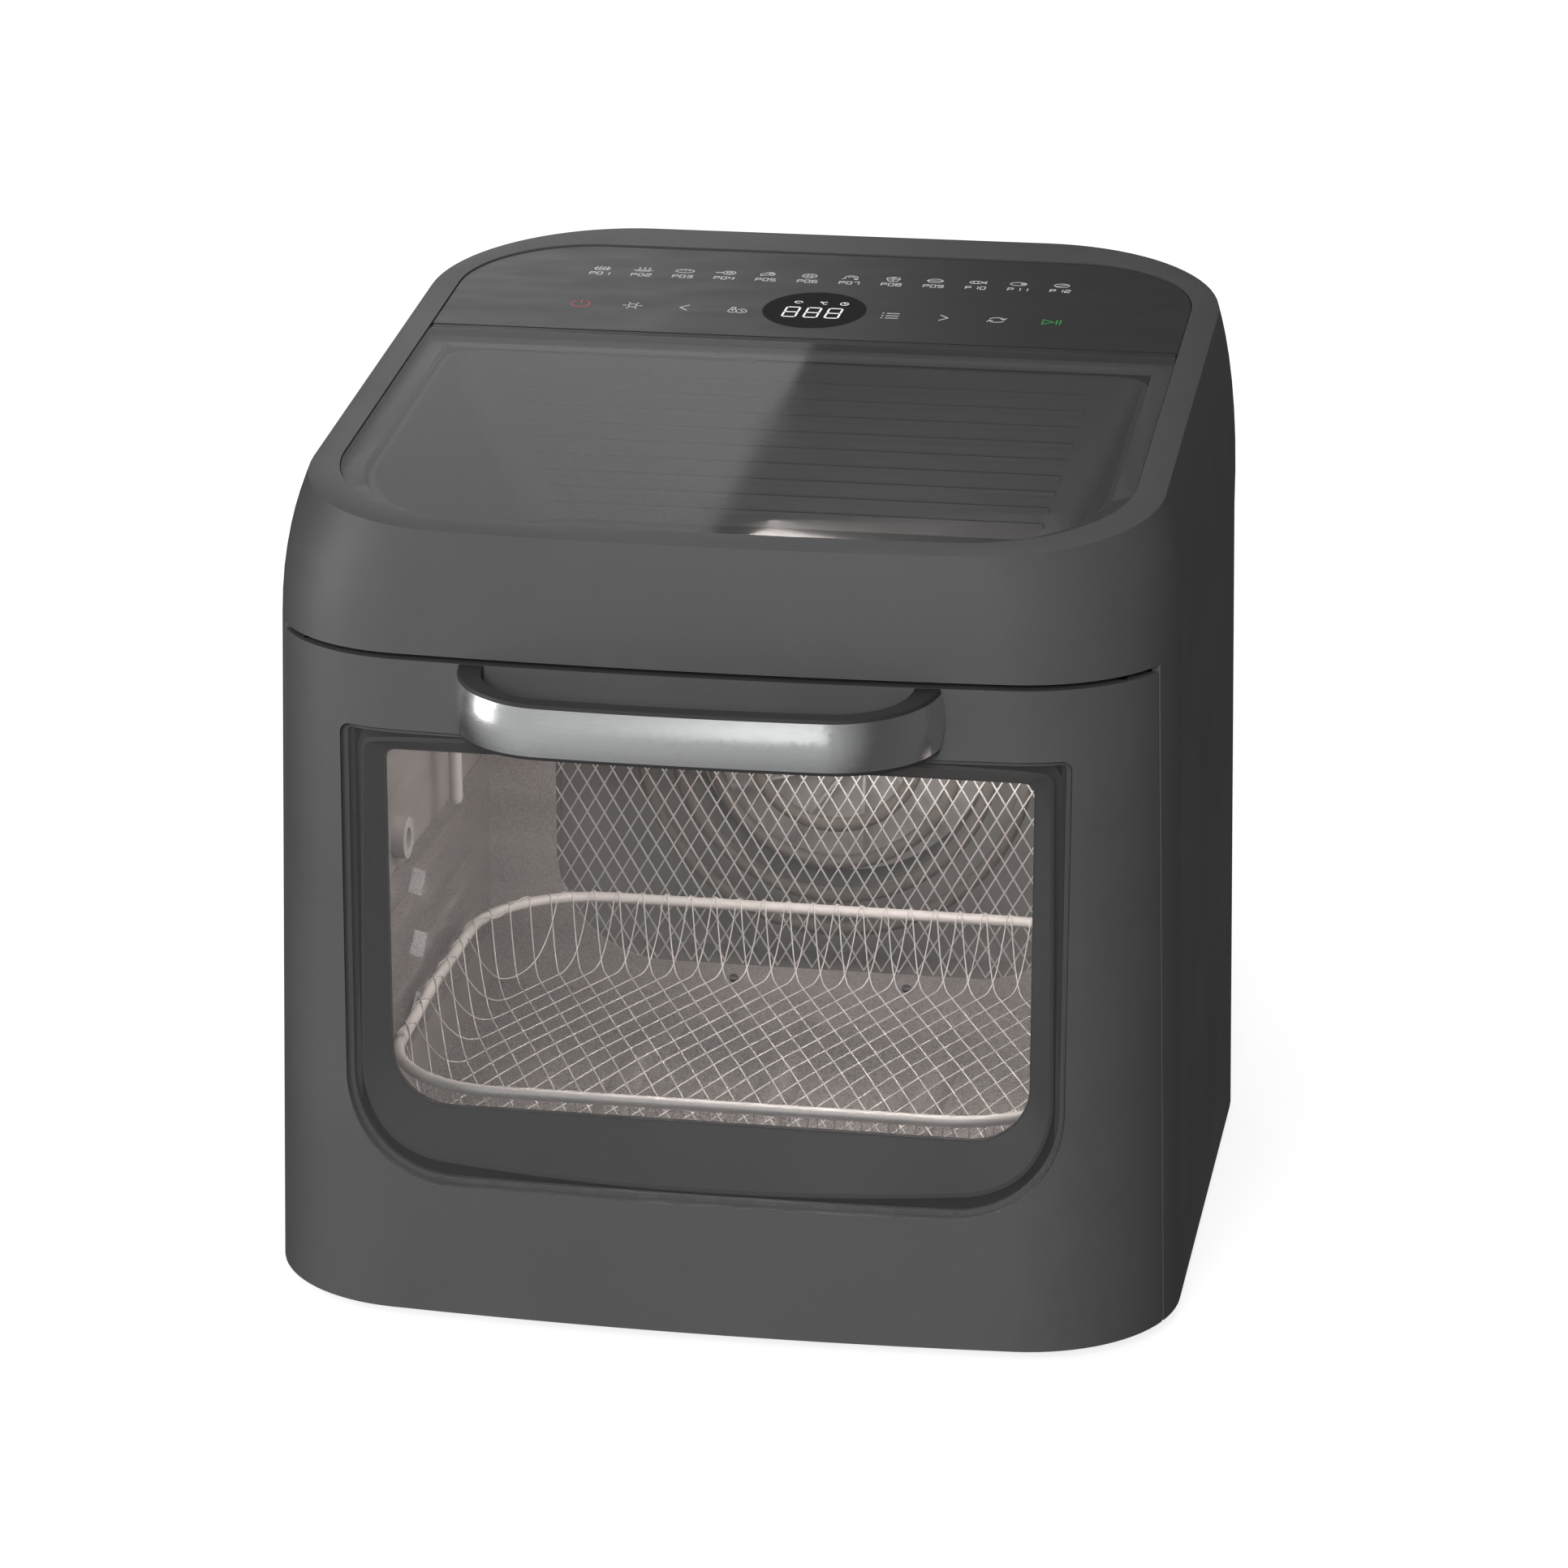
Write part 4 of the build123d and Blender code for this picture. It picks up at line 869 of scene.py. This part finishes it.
def key_heat_time(bm, x, y):
    bulb = arc(x - 1.6, y - 1.6, 1.7, 1.7, -230, 50, 18)
    ribbon(bm, bulb + [(x - 0.9, y + 2.6), (x - 2.3, y + 2.6)], closed=True)
    ribbon(bm, [(x - 1.6, y - 1.6), (x - 1.6, y + 1.4)], LINE * 1.4)
    ribbon(bm, arc(x + 1.9, y - 1.3, 2.1, 2.1, -170, 140, 18))
    ribbon(bm, [(x + 1.9, y - 0.2), (x + 1.9, y - 1.4), (x + 2.9, y - 1.4)])


def key_list(bm, x, y):
    for dy in (-2.6, 0, 2.6):
        ribbon(bm, [(x - 3.4, y + dy), (x - 2.7, y + dy)], 0.7)
        ribbon(bm, [(x - 1.7, y + dy), (x + 3.4, y + dy)], 0.5)


def key_turn(bm, x, y):
    ribbon(bm, arc(x, y, 3.0, 2.6, 15, 160, 12))
    ribbon(bm, arc(x, y, 3.0, 2.6, 195, 340, 12))
    ribbon(bm, [(x + 3.6, y + 2.3), (x + 2.9, y + 0.6), (x + 1.3, y + 1.2)])
    ribbon(bm, [(x - 3.6, y - 2.3), (x - 2.9, y - 0.6), (x - 1.3, y - 1.2)])


def lower_keys(bm):
    key_lamp(bm, -71.8, KEY_V)
    ribbon(bm, [(-49.6, KEY_V + 3), (-52.9, KEY_V), (-49.6, KEY_V - 3)], 0.5)
    key_heat_time(bm, -30.2, KEY_V)
    key_list(bm, 30.4, KEY_V)
    ribbon(bm, [(49.8, KEY_V + 3), (53.1, KEY_V), (49.8, KEY_V - 3)], 0.5)
    key_turn(bm, 72.2, KEY_V)


POWER_X = -92.7
START_X = 90.2
BOLD = 0.55


def panel_keys():
    bm = bmesh.new()
    program_keys(bm)
    lower_keys(bm)
    piece("panel_keys", bm, WHITE_INK, "white_plastic", BODY)


def power_key():
    bm = bmesh.new()
    ribbon(bm, arc(POWER_X, KEY_V, 3.7, 3.7, 120, 420, 28), BOLD)
    ribbon(bm, [(POWER_X, KEY_V + 0.6), (POWER_X, KEY_V + 4.2)], BOLD)
    piece("power_key", bm, RED_INK, "white_plastic", BODY)


def start_key():
    bm = bmesh.new()
    arrow = [(START_X, KEY_V - 2.6), (START_X, KEY_V + 2.6), (START_X + 4.2, KEY_V)]
    ribbon(bm, arrow, BOLD, closed=True)
    for x in (95.6, 97.0):
        ribbon(bm, [(x, KEY_V - 2.6), (x, KEY_V + 2.6)], 0.6)
    piece("start_key", bm, GREEN_INK, "white_plastic", BODY)


panel_keys()
power_key()
start_key()

DISPLAY_V = 91.7
DISPLAY_R = 20.4


def display_disc():
    """The round window of the display: a thin dark disc under the ink, with a turned edge."""
    bm = bmesh.new()
    rings = ((0.60, 0.012), (0.97, 0.012), (1.0, 0.004))
    steps = 72
    layers = []
    for share, lift in rings:
        ring = []
        for x, y in arc(0, DISPLAY_V, DISPLAY_R * share, DISPLAY_R * share, steps=steps):
            ring.append(bm.verts.new(PANEL @ Vector((x * MM, y * MM, GLASS_TOP + lift * MM))))
        layers.append(ring)
    bm.faces.new(layers[0])
    for one, two in zip(layers, layers[1:]):
        for k in range(steps):
            n = (k + 1) % steps
            bm.faces.new((one[k], one[n], two[n], two[k]))
    piece("display_window", bm, LIBRARY["display"], "display", BODY)


display_disc()
INK_LOW = GLASS_TOP + 0.02 * MM     # the figures start above the display's disc
SMALL = 0.35


def display_figures():
    """Three figures, with a row of small signs above them."""
    bm = bmesh.new()
    for k in range(3):
        glyph(bm, "8", -11.6 + 8.4 * k, DISPLAY_V - 8.2, 5.2, 10.8, 0.75, 0.35, 0.05)
    ribbon(bm, arc(-7.6, DISPLAY_V + 8.4, 1.5, 1.1, -30, 330, 14))
    ribbon(bm, arc(1.4, DISPLAY_V + 9.3, 0.4, 0.4, 0, 360, 8), 0.3, closed=True)
    ribbon(bm, arc(3.1, DISPLAY_V + 8.2, 1.1, 1.3, 50, 310, 12), SMALL)
    ribbon(bm, arc(10.6, DISPLAY_V + 8.2, 1.6, 1.6, 0, 360, 18), SMALL, closed=True)
    ribbon(bm, [(10.6, DISPLAY_V + 9.2), (10.6, DISPLAY_V + 8.2), (11.4, DISPLAY_V + 8.2)], SMALL)
    piece("display_figures", bm, FIGURE_INK, "white_plastic", BODY)


display_figures()


# ---------------------------------------------------------------- camera
camera_data = bpy.data.cameras.new("camera")
camera_data.lens = 120.62
camera_data.sensor_width = 36
camera_data.shift_x = 0.00933
camera_data.shift_y = 0.02095
camera_data.clip_start = 0.05
camera = bpy.data.objects.new("camera", camera_data)
bpy.context.scene.collection.objects.link(camera)
VIEW_RIGHT = (0.98441, 0.17589, 0.0)
VIEW_UP = (-0.05557, 0.31104, 0.94877)
VIEW_BACK = (0.16688, -0.93398, 0.31596)
STAND = (0.33596, -1.88922, 0.79210)
camera.matrix_world = Matrix((
    (VIEW_RIGHT[0], VIEW_UP[0], VIEW_BACK[0], STAND[0]),
    (VIEW_RIGHT[1], VIEW_UP[1], VIEW_BACK[1], STAND[1]),
    (VIEW_RIGHT[2], VIEW_UP[2], VIEW_BACK[2], STAND[2]),
    (0, 0, 0, 1),
))
bpy.context.scene.camera = camera


# ---------------------------------------------------------------- floor and lights
FLOOR_GLOW = {"From Min": 0.25, "From Max": 1.6, "To Min": 0.80, "To Max": 1.0}
FLOOR_RINGS = (1.0, 3.0, 9.0)


def floor_surface():
    m = Surface("studio_floor")
    soft = m.noise(m.position(), 3, 2)
    m.colour(soft, [(0.3, (0.50, 0.50, 0.50)), (0.7, (0.52, 0.52, 0.52))])
    m.rough(soft, 0.75, 0.85)
    m.set(Emission_Color=(1, 1, 1, 1))
    reach = m.node("ShaderNodeVectorMath", operation="LENGTH")
    m.link(m.position(), reach.inputs[0])
    glow = m.node("ShaderNodeMapRange")
    for key, value in FLOOR_GLOW.items():
        glow.inputs[key].default_value = value
    m.link(reach.outputs["Value"], glow.inputs["Value"])
    m.link(glow.outputs["Result"], m.shader.inputs["Emission Strength"])
    return m


def floor():
    bm = bmesh.new()
    steps = 48
    middle = bm.verts.new((0, 0, 0))
    rings = []
    for radius in FLOOR_RINGS:
        ring = []
        for k in range(steps):
            a = 2 * math.pi * k / steps
            ring.append(bm.verts.new((radius * math.cos(a), radius * math.sin(a), 0)))
        rings.append(ring)
    for k in range(steps):
        n = (k + 1) % steps
        bm.faces.new((middle, rings[0][k], rings[0][n]))
        for one, two in zip(rings, rings[1:]):
            bm.faces.new((one[k], two[k], two[n], one[n]))
    mesh = bpy.data.meshes.new("floor")
    bm.to_mesh(mesh)
    bm.free()
    made = bpy.data.objects.new("floor", mesh)
    bpy.context.scene.collection.objects.link(made)
    mesh.materials.append(floor_surface().material)
    made.visible_diffuse = False
    made.visible_glossy = False


floor()


def area_light(name, place, aim, size, power, colour=(1, 1, 1), seen=True):
    data = bpy.data.lights.new(name, "AREA")
    data.shape = "RECTANGLE"
    data.size, data.size_y = size
    data.energy = power
    data.color = colour
    made = bpy.data.objects.new(name, data)
    bpy.context.scene.collection.objects.link(made)
    made.location = place
    made.rotation_euler = (Vector(aim) - Vector(place)).to_track_quat("-Z", "Y").to_euler()
    made.visible_camera = False
    if not seen:
        made.visible_glossy = False
    return made


WARM = (1.0, 0.92, 0.88)
GLOW = (1.0, 0.70, 0.62)
NEUTRAL = (1.0, 0.97, 0.94)

area_light("key", (0.05, -2.4, 1.25), (0, 0, 0.2), (1.1, 1.0), 46, seen=False)
area_light("side", (-2.0, -0.55, 0.45), (0, -0.1, 0.2), (0.8, 1.1), 8)
area_light("top", (0.0, 0.25, 2.1), (0, 0, 0.2), (1.4, 1.0), 7.5)
mirror = area_light("mirror_card", (-0.10, -1.60, 0.36), (0.03, -0.19, 0.24), (0.26, 0.70), 0.50)
mirror.visible_diffuse = False
area_light("cavity", (0.03, -0.02, 0.246), (0.05, 0.02, 0.04), (0.14, 0.10), 0.75, WARM, False)
area_light("cavity_front", (0.04, -0.105, 0.235), (0.07, 0.04, 0.05), (0.18, 0.02), 0.62, WARM, False)
area_light("ceiling_glow", (0.0, 0.078, 0.2435), (0.0, 0.112, 0.2385), (0.22, 0.006), 0.05, GLOW, False)
area_light("chamber", (0.035, 0.1125, 0.165), (0.03, 0.15, 0.15), (0.10, 0.08), 0.10, NEUTRAL, False)


def sky_card():
    """A tilted card behind the oven; its edge is the slanting line that the skylight mirrors."""
    made = area_light("sky_card", (-0.480, 1.3, 0.925), (0, 0, 0), (0.5, 0.5), 1.0)
    across = Vector((-0.887, 0, -0.461))
    along = Vector((-0.461, 0, 0.887))
    away = Vector((0, 1, 0))
    turn = Matrix((across, along, away)).transposed().to_4x4()
    turn.translation = made.location
    made.matrix_world = turn


sky_card()


BRIGHT_SIDE = (-0.55, -0.83, 0.0)
ROOM_LEVELS = ((0.0, 0.11), (0.58, 0.075), (0.80, 0.28), (0.97, 0.46))


def studio_world():
    """White to the camera; to all else a room lit in front and to the left, and dim elsewhere."""
    world = bpy.data.worlds.new("studio")
    world.use_nodes = True
    tree = world.node_tree
    tree.nodes.clear()
    link = tree.links.new
    place = tree.nodes.new("ShaderNodeTexCoord")
    towards = tree.nodes.new("ShaderNodeVectorMath")
    towards.operation = "DOT_PRODUCT"
    towards.inputs[1].default_value = BRIGHT_SIDE
    link(place.outputs["Generated"], towards.inputs[0])
    depth = tree.nodes.new("ShaderNodeMapRange")
    depth.inputs["From Min"].default_value = -1
    link(towards.outputs["Value"], depth.inputs["Value"])
    room = tree.nodes.new("ShaderNodeValToRGB")
    bar = room.color_ramp.elements
    while len(bar) < len(ROOM_LEVELS):
        bar.new(1.0)
    for element, (place_on_bar, level) in zip(bar, ROOM_LEVELS):
        element.position = place_on_bar
        element.color = (level, level, level, 1)
    link(depth.outputs["Result"], room.inputs[0])
    dim = tree.nodes.new("ShaderNodeBackground")
    link(room.outputs[0], dim.inputs[0])
    plain = tree.nodes.new("ShaderNodeBackground")
    plain.inputs[0].default_value = (1, 1, 1, 1)
    path = tree.nodes.new("ShaderNodeLightPath")
    both = tree.nodes.new("ShaderNodeMixShader")
    link(path.outputs["Is Camera Ray"], both.inputs[0])
    link(dim.outputs[0], both.inputs[1])
    link(plain.outputs[0], both.inputs[2])
    out = tree.nodes.new("ShaderNodeOutputWorld")
    link(both.outputs[0], out.inputs[0])
    bpy.context.scene.world = world


studio_world()
bpy.context.scene.view_settings.view_transform = "Standard"
